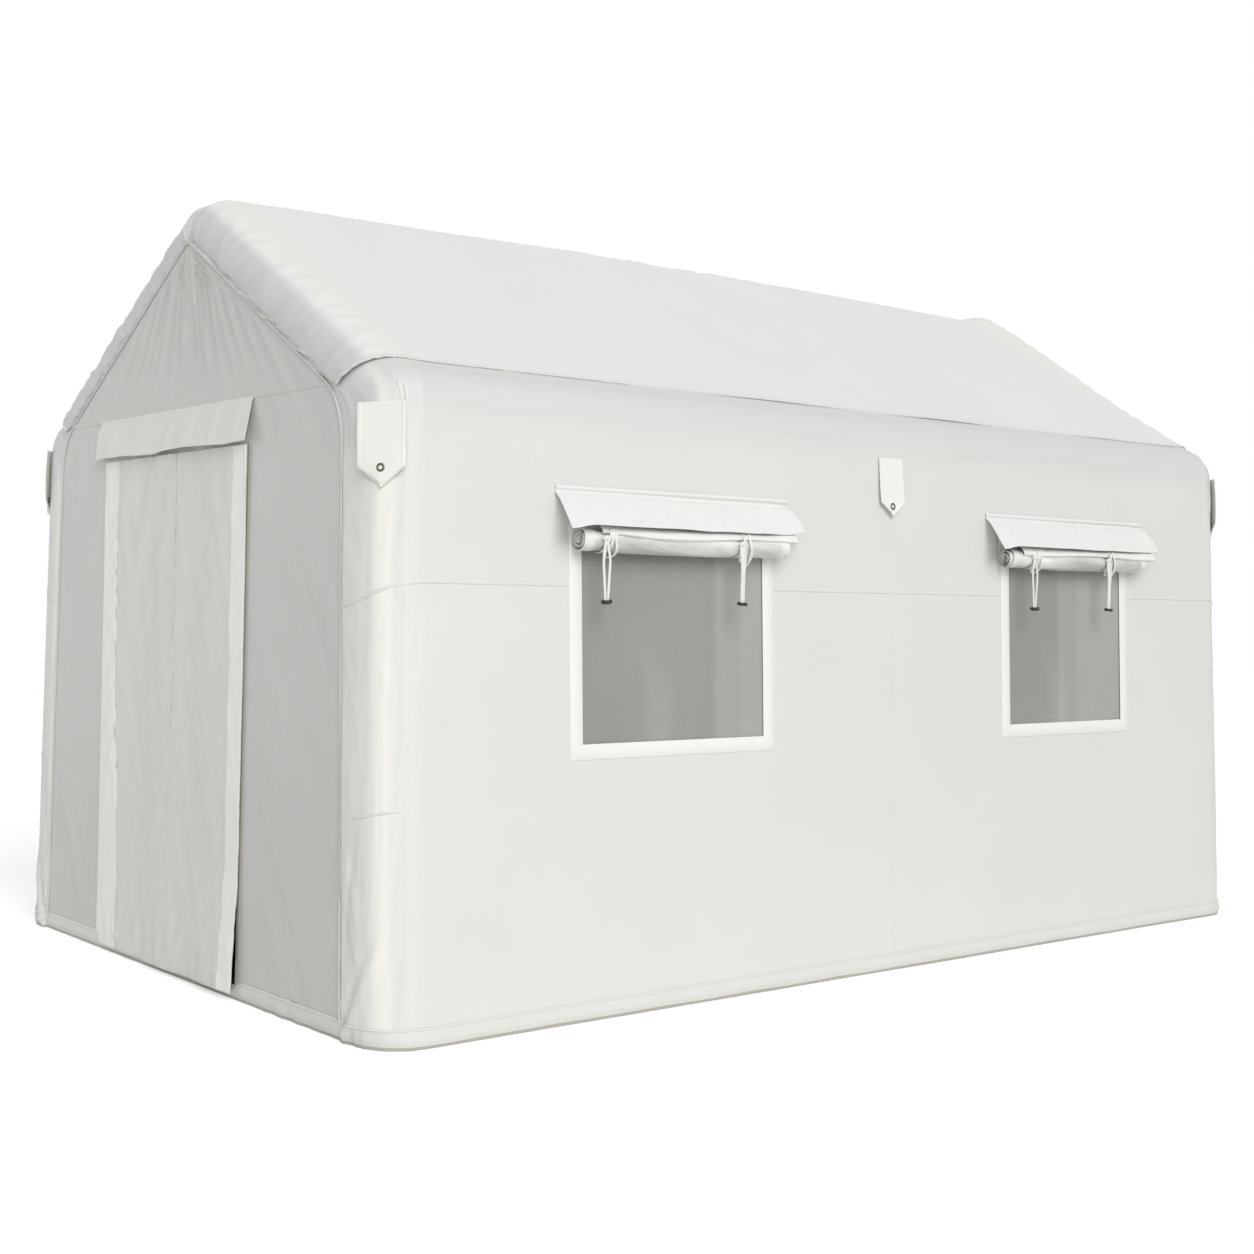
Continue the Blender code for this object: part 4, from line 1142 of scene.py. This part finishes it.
screen_cloth, screen_tree, screen_shader = new_material(
    "grey_window_mesh", {"Roughness": 0.34, "IOR": 1.45},
)
# The mesh's grey is lighter where the painted light of the inside and the painted reflection say so.
screen_painted_light = add_node(screen_tree, "Attribute", attribute_name="tone")
screen_colours = colour_ramp(screen_painted_light, (0, (0.290, 0.285, 0.272)), (1, (0.412, 0.400, 0.374)))
link(screen_colours, "Color", screen_shader, "Base Color")
screen_place = add_node(screen_tree, "TexCoord")
screen_weave = raised(crossed_threads(screen_place, 0.0015, "MAXIMUM"), "Value", 0.0001, 0.7)
screen_ripple = noise_over(screen_place, "Object", {"Scale": 9, "Detail": 2})
link(raised(screen_ripple, "Fac", 0.004, 0.5, screen_weave), "Normal", screen_shader, "Normal")

for title, side, centre in windows:
    edges = window_edges[title.split("_")[0]]
    ring = lay_cloth(
        f"window_border_{title}", spaced(0, 0.04, 4), [-1, -0.97, -0.9, 0, 0.9, 0.97, 1],
        lambda number, row: border_surface(
            side, centre, edges, min(number, 3.99999), row, 0.0004 + 0.0018 * smooth(1 - abs(row), 0, 0.08)),
    )
    use(ring, "WELD", "closed", merge_threshold=0.0002)
    thicken(ring, 0.0010)
    dress(ring, trim_cloth)
    left, right = centre + edges[0] - 0.025, centre + edges[1] + 0.025

    def pane_surface(across, height):
        inside = smooth(min(across - left, right - across, height - pane_bottom + 0.025), 0.02, 0.09)
        out = -0.0030 + inside * (
            0.0030 * swell(across, height, 0.30, 31.0 + side + centre)
            + 0.0028 * (creases(across, height, 0.10, 0.8, 32.0 + centre) - 0.3) - 0.002)
        spot, outward = cover_spot(side * across, wall_level(height), side)
        spot.y = side * across
        return spot + outward * out

    pane = lay_cloth(
        f"window_mesh_{title}", spaced(left, 0.016, right),
        spaced(pane_bottom - 0.025, 0.016, pane_top + 0.025), pane_surface,
    )
    step = centre + edges[0] + (0.72 if "front" in title else 0.43) * (edges[1] - edges[0])

    def pane_painted_light(across, height):
        """Painted light and shade of the inside, seen dimly behind the mesh, with a painted reflection streak
        low down, from 0 to 1.
        """
        tone = 0.55 * smooth(across, step - 0.012, step + 0.02)
        tone += 0.25 * smooth(across, step + 0.11, step + 0.13)
        tone += 0.30 * (noise.noise(Vector((across * 1.7, height * 1.4, 8.0 + centre))) + 0.2)
        streak = bump(across + 0.12 * math.sin(height * 5), centre + 0.5 * edges[0], 0.09)
        return min(1, max(0, tone + 0.35 * streak * smooth(height, 1.25, 0.95)))

    # Painted light, shade and reflection on the mesh.
    paint(pane, "tone", pane_painted_light)
    thicken(pane, 0.0006)
    dress(pane, screen_cloth, nodes=[f"window_screen_{title}"])


# ---- Rolled blinds ----
# A clear, slightly yellowed film hangs from a seam under each hood and is rolled up tight. Its
# cut edges are bound with white tape, which winds with the film and shows at both ends.
blind_width, blind_radius, blind_pitch, blind_turns = 0.840, 0.0395, 0.0067, 4.2
blind_height, leader_top, blind_sag = 1.470, 1.620, 0.006
tie_places = {"front": (-0.350, 0.210), "rear": (-0.298, 0.158)}

film, film_tree, film_shader = new_material(
    "clear_window_film", {"IOR": 1.5, "Coat Weight": 0.5, "Coat Roughness": 0.08},
)
film_grain = add_node(film_tree, "Mapping", {"Scale": (1, 0.22, 1)})
link(add_node(film_tree, "TexCoord"), "Object", film_grain, "Vector")
# Painted highlights: the film's grey-beige is streaked lengthways with near-white, standing in for glints
# along the roll.
film_cloud = noise_over(film_grain, "Vector", {"Scale": 14, "Detail": 4, "Distortion": 0.6})
film_colours_and_highlights = colour_ramp(
    film_cloud, (0.36, (0.500, 0.485, 0.450)), (0.54, (0.730, 0.715, 0.678)), (0.70, (0.950, 0.940, 0.915)),
)
film_band = add_node(film_tree, "Attribute", attribute_name="binding")
link(tinted(film_colours_and_highlights, film_band, (0.840, 0.825, 0.785)), "Color", film_shader, "Base Color")
film_gloss = add_node(film_tree, "MapRange", {"To Min": 0.16, "To Max": 0.55})
link(film_band, "Fac", film_gloss, "Value")
link(film_gloss, "Result", film_shader, "Roughness")
film_crumple = noise_over(film_grain, "Vector", {"Scale": 34, "Detail": 2, "Distortion": 0.8})
link(raised(film_crumple, "Fac", 0.004, 0.6), "Normal", film_shader, "Normal")


def wall_axes(side):
    """Along, up and out of a side wall, seen from outside."""
    up = Vector((-side * side_lean, 0, 1)).normalized()
    across = Vector((0, side, 0))
    return across, up, across.cross(up)


def on_wall(side, across, up, out):
    along, rise, outward = wall_axes(side)
    return Vector((side * half_width, 0, 0)) + along * across + rise * up + outward * out


def blind_surface(title, side, centre, across, turned, proud=0.0):
    """The film from the seam under the hood down the wall, and then round and round inwards."""
    back = 0.0012 + 0.0008
    share = across / (blind_width / 2)
    if turned < 0:
        fall = 1 + turned
        out = back + 0.004 * math.sin(math.pi * fall) * (1 + noise.noise(Vector((across * 8, fall, centre))))
        return on_wall(side, centre + across, leader_top + (blind_height - leader_top) * fall, out + proud)
    pinch = sum(bump(across, place, 0.035) for place in tie_places[title.split("_")[0]])
    rough = noise.noise(Vector((across * 5 + centre, turned * 6.2, 4.0)))
    rough += 0.7 * noise.noise(Vector((across * 12, turned * 12 + centre, 9.0)))
    radius = blind_radius - blind_pitch * turned
    radius *= 1 - 0.12 * pinch
    radius += 0.0016 * rough * smooth(turned, 0, 0.15) * (0.4 + 0.6 * smooth(blind_turns - turned, 2.9, 4.1))
    radius -= 0.0035 * smooth(abs(share), 0.86, 1) * noise.noise(Vector((share * 3, turned * 1.4, centre)))
    angle = math.pi + math.tau * turned
    sag = blind_sag * (1 - abs(share) ** 1.6) + 0.002 * noise.noise(Vector((across * 5, centre, 1)))
    skew = 0.010 * math.sin(angle * 0.5 + centre) * smooth(abs(share), 0.75, 1) * math.copysign(1, share)
    flat = 0.94 + 0.04 * noise.noise(Vector((across * 4, 3.0, centre)))
    out = back + blind_radius + (radius + proud) * math.cos(angle)
    up = blind_height - sag + (radius + proud) * math.sin(angle) * flat
    return on_wall(side, centre + across + skew, up, max(out, 0.0008))


def binding(across, turned):
    """White tape along both cut ends, and a slanting flash of it near the left end."""
    share = across / (blind_width / 2)
    ends = smooth(abs(share), 0.905, 0.93)
    slant = bump(across + 0.055 * math.sin(math.tau * (turned - 0.1)), -0.355, 0.016)
    slant *= smooth(turned, 0.0, 0.05) * smooth(1.3 - turned, 0, 0.2)
    return max(ends, slant, smooth(-turned, 0.0, 0.1) * 0.85)


for title, side, centre in windows:
    blind = lay_cloth(
        f"rolled_blind_{title}", spaced(-blind_width / 2, 0.010, blind_width / 2),
        spaced(-1, 0.1, 0, 1 / 30, blind_turns),
        lambda across, turned: blind_surface(title, side, centre, across, turned),
    )
    paint(blind, "binding", binding)
    thicken(blind, 0.0008, 0)
    dress(blind, film, nodes=[f"blind_roll_{title}"])

    def heading_surface(across, turn):
        """The cloth heading that comes down over the roll from under the hood, its lower edge turned in."""
        angle = math.radians(118 - 92 * min(turn, 1) + 7 * math.sin(across * 9 + centre) * turn)
        lip = smooth(turn, 1.0, 1.35)
        lift = 0.0050 + 0.0040 * math.sin(math.pi * min(turn, 1)) - 0.0035 * lip
        lift += 0.0022 * noise.noise(Vector((across * 11, turn * 1.4, centre + 3)))
        reach = blind_radius + lift
        sag = blind_sag * (1 - (across / 0.42) ** 2) + 0.003 * smooth(across, 0.2, 0.45)
        out = 0.002 + blind_radius + reach * math.cos(angle) - 0.004 * lip
        up = blind_height - sag + reach * math.sin(angle) * 0.98 - 0.002 * lip
        return on_wall(side, centre + across, up, out)

    heading = lay_cloth(
        f"blind_heading_{title}", spaced(-0.362, 0.012, 0.462), [-turn for turn in spaced(1.35, 0.07, 0)],
        lambda across, row: heading_surface(across, -row),
    )
    thicken(heading, 0.0014, 1)
    dress(heading, trim_cloth)


# ---- Window hoods ----
# A stiff doubled flap of cream cloth, sewn to the wall above each window along a flat strip
# and bent out below it to keep rain off. Its left lower corner droops and the right lifts.
hood_width, hood_top, hood_drop, hood_stand, hood_skew = 0.970, 1.635, 0.125, 0.085, 0.015
hood_strip = 0.13
hood_cloth = fabric("hood_cloth", (0.820, 0.824, 0.804), 0.48, crinkle=0.0010, crinkle_size=0.05)


def hood_surface(side, centre, across, low, proud=0.0):
    """A place on a hood; low runs from 0 along its sewn top to 1 along its free edge."""
    share = across / (hood_width / 2)
    bent = smooth(low, hood_strip * 0.6, hood_strip * 1.8)
    fall = max(low - hood_strip, 0) / (1 - hood_strip)
    out = 0.0020 + (hood_stand - hood_skew * share) * fall
    out += 0.010 * math.sin(math.pi * fall) * (0.6 + 0.3 * noise.noise(Vector((across * 4, centre, 6.0))))
    out -= (0.0030 + 0.0060 * smooth(share, -0.4, 0.6)) * bump(low, hood_strip + 0.06, 0.12)
    out += 0.0060 * math.sin(math.pi * smooth(low, 0, hood_strip)) * (0.5 + 0.5 * smooth(share, -0.6, 0.3))
    out += 0.004 * noise.noise(Vector((across * 6, low * 2, centre))) * bent
    folds = creases(across + 0.02 * low, low, 0.07, 0.8, 91.0 + centre) - 0.3
    out += 0.004 * folds * bent * (1 - 0.6 * fall)
    drop = hood_drop * low
    drop += 0.012 * smooth(share, -0.80, -1.0) * fall
    flutter = 0.004 * noise.noise(Vector((across * 7, centre, 2.0)))
    drop -= 0.009 * smooth(share, 0.82, 1.0) * fall + flutter * fall
    aside = 0.012 * fall * share + 0.008 * fall * smooth(share, 0.8, 1.0)
    return on_wall(side, centre + across + aside, hood_top - drop, out + proud)


for title, side, centre in windows:
    body = f"window_hood_{title}"
    hood = lay_cloth(
        f"hood_cloth_{title}", spaced(-hood_width / 2, 0.012, hood_width / 2),
        [-low for low in spaced(1, 0.035, hood_strip * 2, 0.02, 0)],
        lambda across, row: hood_surface(side, centre, across, -row),
    )
    thicken(hood, 0.0018, 1)
    hood_edges = join(f"hood_edges_{title}", [
        strip(
            f"hood_edge_{title}_{number}", spaced(-hood_width / 2 + 0.001, 0.02, hood_width / 2 - 0.001),
            half_wide, 0.0009,
            lambda across, shift, rise: hood_surface(side, centre, across, place - shift, 0.0017 + rise),
            hood_cloth, body=body,
        )
        for number, (place, half_wide) in enumerate(((0.055, 0.045), (0.925, 0.065)))
    ])
    dress(hood, hood_cloth, body, [f"window_hood_{title}"])


# ---- Ties and toggles ----
# White woven tape is passed round each roll and knotted in front, and its tails hang down into
# a round black button. The strands round the roll stay put and the tails swing.
tape_cloth = fabric("white_woven_tape", (0.850, 0.840, 0.810), 0.7, weave_size=0.0009, weave_depth=0.0002)
tie_top, tie_out, tie_drop = 1.482, 0.0776, 0.200
toggle_radius, toggle_thickness = 0.017, 0.010


def curve_through(spots, steps=7):
    """A smooth line through the spots."""
    line = []
    padded = [spots[0] * 2 - spots[1], *spots, spots[-1] * 2 - spots[-2]]
    for before, start, end, after in zip(padded, padded[1:], padded[2:], padded[3:]):
        for number in range(steps):
            t = number / steps
            line.append(0.5 * (
                2 * start + (end - before) * t + (2 * before - 5 * start + 4 * end - after) * t ** 2
                + (3 * start - before - 3 * end + after) * t ** 3
            ))
    line.append(spots[-1])
    return line


def ribbon(name, spots, width, facing, body):
    """A flat woven tape along a smooth line, its face turned the way that facing gives."""
    line = curve_through(spots)
    sides = []
    for number, spot in enumerate(line):
        heading = line[min(number + 1, len(line) - 1)] - line[max(number - 1, 0)]
        sides.append(heading.cross(facing(spot)).normalized())
    tape = lay_cloth(
        name, list(range(len(line))), [-1, -0.5, 0, 0.5, 1],
        lambda number, row: line[number] - sides[number] * row * width / 2,
    )
    thicken(tape, 0.0014, 0)
    return dress(tape, tape_cloth, body)


black_plastic, plastic_tree, plastic_shader = new_material("moulded_black_plastic", {"Roughness": 0.42})
plastic_grain = noise_over(add_node(plastic_tree, "TexCoord"), "Object", {"Scale": 900})
plastic_colours = colour_ramp(plastic_grain, (0, (0.012, 0.012, 0.012)), (1, (0.030, 0.029, 0.028)))
link(plastic_colours, "Color", plastic_shader, "Base Color")
link(raised(plastic_grain, "Fac", 0.0001, 0.5), "Normal", plastic_shader, "Normal")


def turned(name, profile, place, axis, material, slot, body, nodes=(), sides=40):
    """A turned piece: a closed outline of (radius, height) places spun round the axis at a place."""
    bpy.ops.object.select_all(action="DESELECT")
    bpy.ops.mesh.primitive_circle_add(vertices=len(profile), radius=1)
    piece = bpy.context.object
    piece.name = piece.data.name = name
    for vertex, (radius, height) in zip(piece.data.vertices, profile):
        vertex.co = (radius, 0, height)
    bpy.ops.object.mode_set(mode="EDIT")
    bpy.ops.mesh.select_all(action="SELECT")
    bpy.ops.mesh.spin(steps=sides, angle=math.tau, center=(0, 0, 0), axis=(0, 0, 1))
    bpy.ops.mesh.select_all(action="SELECT")
    bpy.ops.mesh.remove_doubles(threshold=0.00001)
    bpy.ops.mesh.delete_loose()
    bpy.ops.mesh.select_all(action="SELECT")
    bpy.ops.mesh.normals_make_consistent(inside=False)
    bpy.ops.object.mode_set(mode="OBJECT")
    turn = Vector(axis).to_track_quat("Z", "Y").to_matrix().to_4x4()
    piece.data.transform(Matrix.Translation(place) @ turn)
    bpy.ops.object.shade_smooth_by_angle(angle=math.radians(38))
    return dress(piece, material, body, nodes)


def rounded(radius, height, edge, steps=3):
    """The outer corner places of a turned rim, from its side round to its face."""
    return [
        (radius - edge + edge * math.cos(math.pi / 2 * step / steps),
         height - edge + edge * math.sin(math.pi / 2 * step / steps))
        for step in range(steps + 1)
    ]


toggle_high = toggle_thickness / 2
toggle_rim = rounded(toggle_radius, toggle_high, 0.003)
button_profile = [(0, -toggle_high)]
button_profile += [(radius, -height) for radius, height in reversed(toggle_rim)] + toggle_rim
button_profile += [(0.0110, toggle_high), (0.0098, toggle_high - 0.0012), (0.0074, toggle_high - 0.0012)]
button_profile += [(0.0072, toggle_high - 0.003), (0, toggle_high - 0.003)]


def tie_strands(number):
    """The strands of a tie: widths, and places of (across, angle, gap) round the roll."""
    lean = 0.034 if number == 1 else 0.014
    around = [
        (lean, 112), (lean * 0.9, 70), (lean * 0.45, 25), (lean * 0.1, -20), (-0.002, -60), (0.004, -112),
    ]
    looped = [
        (lean + 0.022, 112, 0.003), (lean * 0.9 + 0.022, 60, 0.004), (0.034, 10, 0.005),
        (0.042, -35, 0.0085), (0.040, -70, 0.014), (0.024, -84, 0.015), (0.010, -66, 0.0060),
        (0.002, -30, 0.0036),
    ]
    crossing = [
        (0.040, 110, 0.003), (0.034, 55, 0.004), (0.024, 10, 0.004), (0.016, -30, 0.004), (0.012, -80, 0.003),
    ]
    slack = [(0.042, -20, 0.004), (0.047, -50, 0.010), (0.040, -72, 0.026), (0.030, -80, 0.036)]
    return [(0.0105, around), (0.0095, looped), (0.0090, crossing) if number == 1 else (0.0095, slack)]


def tie_tails(number):
    """The tails of a tie: widths, and places of (across, down, out) from the knot."""
    bottom = tie_drop - 0.0022
    if number == 1:
        return [
            (0.0085, [
                (aside * 0.3, 0.004, 0.0015), (aside * 0.8, 0.030, 0.003),
                (aside * 1.7, 0.075, 0.0035 * (1 + math.copysign(0.4, aside))),
                (aside * 1.4, 0.130, 0.002), (aside * 0.75, bottom),
            ])
            for aside in (-0.0066, 0.0066)
        ]
    long_tail = [
        (0.0, 0.004, 0.0015), (-0.001, 0.040, 0.003), (0.0015, 0.090, 0.004), (0.0006, 0.150, 0.002),
        (0, bottom),
    ]
    short_tail = [
        (0.006, 0.006, 0.003), (0.011, 0.036, 0.005), (0.008, 0.080, 0.0056), (0.002, 0.112, 0.0048),
    ]
    return [(0.0175, long_tail), (0.0085, short_tail)]


tie_knot = [
    (-0.009, 0.014, 0.0006), (-0.006, 0.009, 0.005), (0.001, 0.007, 0.0070), (0.008, 0.009, 0.0050),
    (0.010, 0.015, 0.0008),
]
for title, side, centre in windows:
    along, rise, outward = wall_axes(side)
    roll_axis = on_wall(side, centre, blind_height - 0.004, 0.002 + blind_radius)

    def round_roll(across, angle, gap=0.0022):
        """A place on the roll's outside; the angle is 90 on top, 0 in front and -90 underneath."""
        radius = blind_radius * 0.92 + gap + 0.0125 * smooth(angle, 0, 32)
        turn = math.radians(angle)
        out, up = radius * math.cos(turn), radius * math.sin(turn)
        return roll_axis + along * across + outward * out + rise * up * 0.98

    def off_roll(spot):
        """The direction straight out of the roll at a place on it."""
        away = spot - roll_axis
        return (away - along * away.dot(along)).normalized()

    for number, across in enumerate(tie_places[title.split("_")[0]], 1):
        body = f"tie_{title}_{number}"
        join(f"tie_strands_{title}_{number}", [
            ribbon(
                f"tie_strand_{title}_{number}_{count}",
                [round_roll(across + aside, *rest) for aside, *rest in places], width, off_roll, "tent",
            )
            for count, (width, places) in enumerate(tie_strands(number))
        ])

        def tie_spot(aside, down, out=0.0):
            return on_wall(side, centre + across + aside, tie_top - down, tie_out + 0.0012 + out)

        tails = [
            ribbon(
                f"tie_tail_{title}_{number}_{count}", [tie_spot(*place) for place in places], width,
                lambda spot: outward, body,
            )
            for count, (width, places) in enumerate(tie_tails(number))
        ]
        tails.append(ribbon(
            f"tie_knot_{title}_{number}", [tie_spot(*place) for place in tie_knot], 0.0130,
            lambda spot: (outward + rise * 0.001).normalized(), body,
        ))
        tie = join(f"tie_tape_{title}_{number}_woven", tails)
        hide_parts(f"tie_tape_{title}_{number}")
        turned(
            f"tie_button_{title}_{number}", button_profile,
            on_wall(
                side, centre + across, tie_top - tie_drop - toggle_high + 0.003 - 0.0003, tie_out + 0.001,
            ),
            rise + outward * 0.17 - along * (0.20 if number == 1 else -0.03), black_plastic,
            "black_plastic", body, [f"tie_toggle_{title}_{number}"],
        )


# ---- Guy tabs and eyelets ----
# Doubled, stiff five-sided tabs, sewn on along the top edge: one on each rounded corner and
# one in the middle of each side. A dull metal eyelet is punched through near the point.
tab_thickness = 0.0024
corner_turn = math.radians(54)
eyelet_metal, metal_tree, metal_shader = new_material("dull_eyelet_metal", {"Metallic": 1})
metal_stain = noise_over(add_node(metal_tree, "TexCoord"), "Object", {"Scale": 260, "Detail": 5})
metal_colours = colour_ramp(metal_stain, (0, (0.070, 0.058, 0.044)), (1, (0.260, 0.230, 0.190)))
link(metal_colours, "Color", metal_shader, "Base Color")
metal_wear = add_node(metal_tree, "MapRange", {"To Min": 0.48, "To Max": 0.26})
link(metal_stain, "Fac", metal_wear, "Value")
link(metal_wear, "Result", metal_shader, "Roughness")


def corner_spot(side, end, angle, height):
    x = half_width - side_lean * height - wrap_radius * (1 - math.cos(angle))
    y = half_length - wrap_radius * (1 - math.sin(angle))
    return tapered(side * x, end * y, height)


def corner_axes(side, end, top):
    """Foot place, and across, up and out directions of the rounded corner where a tab is sewn on."""
    base = corner_spot(side, end, corner_turn, 0)
    up = (corner_spot(side, end, corner_turn, top) - base).normalized()
    step = math.radians(9)
    across = corner_spot(side, end, corner_turn + step, top) - corner_spot(side, end, corner_turn - step, top)
    outward = (across * side * end).normalized().cross(up).normalized()
    return base, up.cross(outward), up, outward


def make_tab(title, axes, top, width, length, shoulder, rise_to_eyelet):
    """One tab with its hem and eyelet. Below its shoulder it narrows to a point."""
    base, across_way, up_way, out_way = axes
    tilt = math.radians(2.5)
    down_way = -up_way * math.cos(tilt) + out_way * math.sin(tilt)
    face_way = out_way * math.cos(tilt) + up_way * math.sin(tilt)
    hinge = base + up_way * top + out_way * 0.0006

    def tab_surface(share, down, proud=0.0):
        half = width / 2 * min(1, max((length - down) / (length - shoulder), 0.004))
        loose = smooth(down, 0.01, length)
        bow = 0.0030 if "middle" in title else -0.0100
        ripple = 0.0025 * noise.noise(Vector((share * 1.5, down * 9, top + len(title))))
        curl = bow * share * share * loose + ripple
        curl += 0.0016 * bump(down, 0.02, 0.012)
        out = 0.0030 + curl * loose + proud
        return hinge + across_way * half * share + down_way * down + face_way * out

    body = f"tab_{title}"
    tab = lay_cloth(
        f"guy_tab_cloth_{title}", spaced(-1, 0.08, 1),
        [-down for down in spaced(length, 0.004, shoulder, 0.008, 0)],
        lambda share, row: tab_surface(share, -row),
    )
    use(tab, "WELD", "point", merge_threshold=0.0009)
    thicken(tab, tab_thickness, 0)
    dress(tab, trim_cloth, body, [f"guy_tab_{title}"])
    hem_wide, lift = 0.0042, tab_thickness / 2

    def hem_place(number, shift):
        """A line of stitched edge a little inside the tab's outline, from the top left round the point."""
        left, right, inset = -width / 2, width / 2, 0.0075
        corners = [
            (left + inset, 0.004), (left + inset, shoulder - 0.002), (0, length - inset * 1.5),
            (right - inset, shoulder - 0.002), (right - inset, 0.004),
        ]
        start = min(int(number), 3)
        share = number - start
        first, second = Vector(corners[start]), Vector(corners[start + 1])
        spot = first.lerp(second, share)
        heading = (second - first).normalized()
        return spot + Vector((heading.y, -heading.x)) * shift

    def hem_surface(number, shift, rise):
        spot = hem_place(number, shift)
        half = width / 2 * min(1, max((length - spot.y) / (length - shoulder), 0.01))
        return tab_surface(max(-1, min(1, spot.x / half)), spot.y, lift + rise)

    edge = strip(
        f"tab_hem_{title}", spaced(0, 0.1, 4), hem_wide, 0.0008, hem_surface, trim_cloth, body=body,
    )
    ring = []
    for step in range(9):
        turn = math.pi * step / 8
        ring.append((0.0095 - 0.0035 * math.cos(turn), tab_thickness / 2 + 0.0004 + 0.0014 * math.sin(turn)))
    profile = ring + [(radius, -height) for radius, height in reversed(ring)]
    turned(
        f"eyelet_{title}", profile, tab_surface(0, length - rise_to_eyelet), face_way, eyelet_metal,
        "eyelet_metal", body, [f"tab_eyelet_{title}"],
    )


corner_tab_top = 1.845
for side, name in ((1, "right"), (-1, "left")):
    make_tab(
        f"middle_{name}", (Vector((side * half_width, 0, 0)), *wall_axes(side)), top=1.808, width=0.120,
        length=0.206, shoulder=0.158, rise_to_eyelet=0.034,
    )
    for end, where in ((-1, "front"), (1, "rear")):
        make_tab(
            f"{where}_{name}", corner_axes(side, end, corner_tab_top), top=corner_tab_top, width=0.150,
            length=0.245, shoulder=0.185, rise_to_eyelet=0.055,
        )


# ---- Valves ----
# A screw valve with a ribbed cap is welded into the left leg of the rear arch, and a relief
# valve that lets off excess air into the right leg. Both are moulded in black plastic.
valve_height, valve_flange = 0.300, 0.021


def valve_spot(side):
    """A place on the rear arch's leg, on the side that looks into the tent."""
    leg = Vector((half_width, 0)) - wall_out * wrap_radius
    leg = leg + wall_up * (valve_height / wall_up.y)
    return tapered(side * leg.x, half_length - wrap_radius - arch_radius, leg.y) - Vector((0, 0.00053, 0))


body_profile = [(0.0001, 0), (valve_flange, 0), *rounded(valve_flange, 0.003, 0.001), (0.017, 0.003)]
body_profile += [*rounded(0.017, 0.020, 0.0008), (0.011, 0.020), (0.011, 0.008), (0.0001, 0.008)]
cap_profile = [(0.0001, 0.0203), (0.0185, 0.0203), (0.0185, 0.0063), (0.0215, 0.0063)]
cap_profile += [*rounded(0.0215, 0.0233, 0.0015), (0.009, 0.0233), (0.008, 0.0222), (0.0001, 0.0222)]
relief_profile = [(0.0001, 0), (valve_flange, 0), *rounded(valve_flange, 0.003, 0.001), (0.012, 0.003)]
relief_profile += [(0.012, 0.0085), (0.0160, 0.0110), (0.0170, 0.0120), *rounded(0.017, 0.017, 0.001)]
relief_profile += [(0.012, 0.017), *rounded(0.012, 0.020, 0.001), (0.0001, 0.020)]
inflation_place, relief_place = valve_spot(-1), valve_spot(1)
turned(
    "inflation_valve_moulding", body_profile, inflation_place, (0, -1, 0), black_plastic, "black_plastic",
    "tent", ["inflation_valve_body"], 48,
)
cap = turned(
    "inflation_valve_screw_cap", cap_profile, inflation_place, (0, -1, 0), black_plastic, "black_plastic",
    "valve_cap", ["inflation_valve_cap"], 72,
)
cap_ribs, rib_depth = 18, 0.035
for vertex in cap.data.vertices:
    away = vertex.co - inflation_place
    if math.hypot(away.x, away.z) > 0.0205 and abs(away.y) < 0.021:
        wave = 0.5 + 0.5 * math.cos(cap_ribs * math.atan2(away.z, away.x))
        vertex.co.x = inflation_place.x + away.x * (1 - rib_depth * wave)
        vertex.co.z = inflation_place.z + away.z * (1 - rib_depth * wave)
turned(
    "relief_valve_moulding", relief_profile, relief_place, (0, -1, 0), black_plastic, "black_plastic", "tent",
    ["relief_valve"], 48,
)
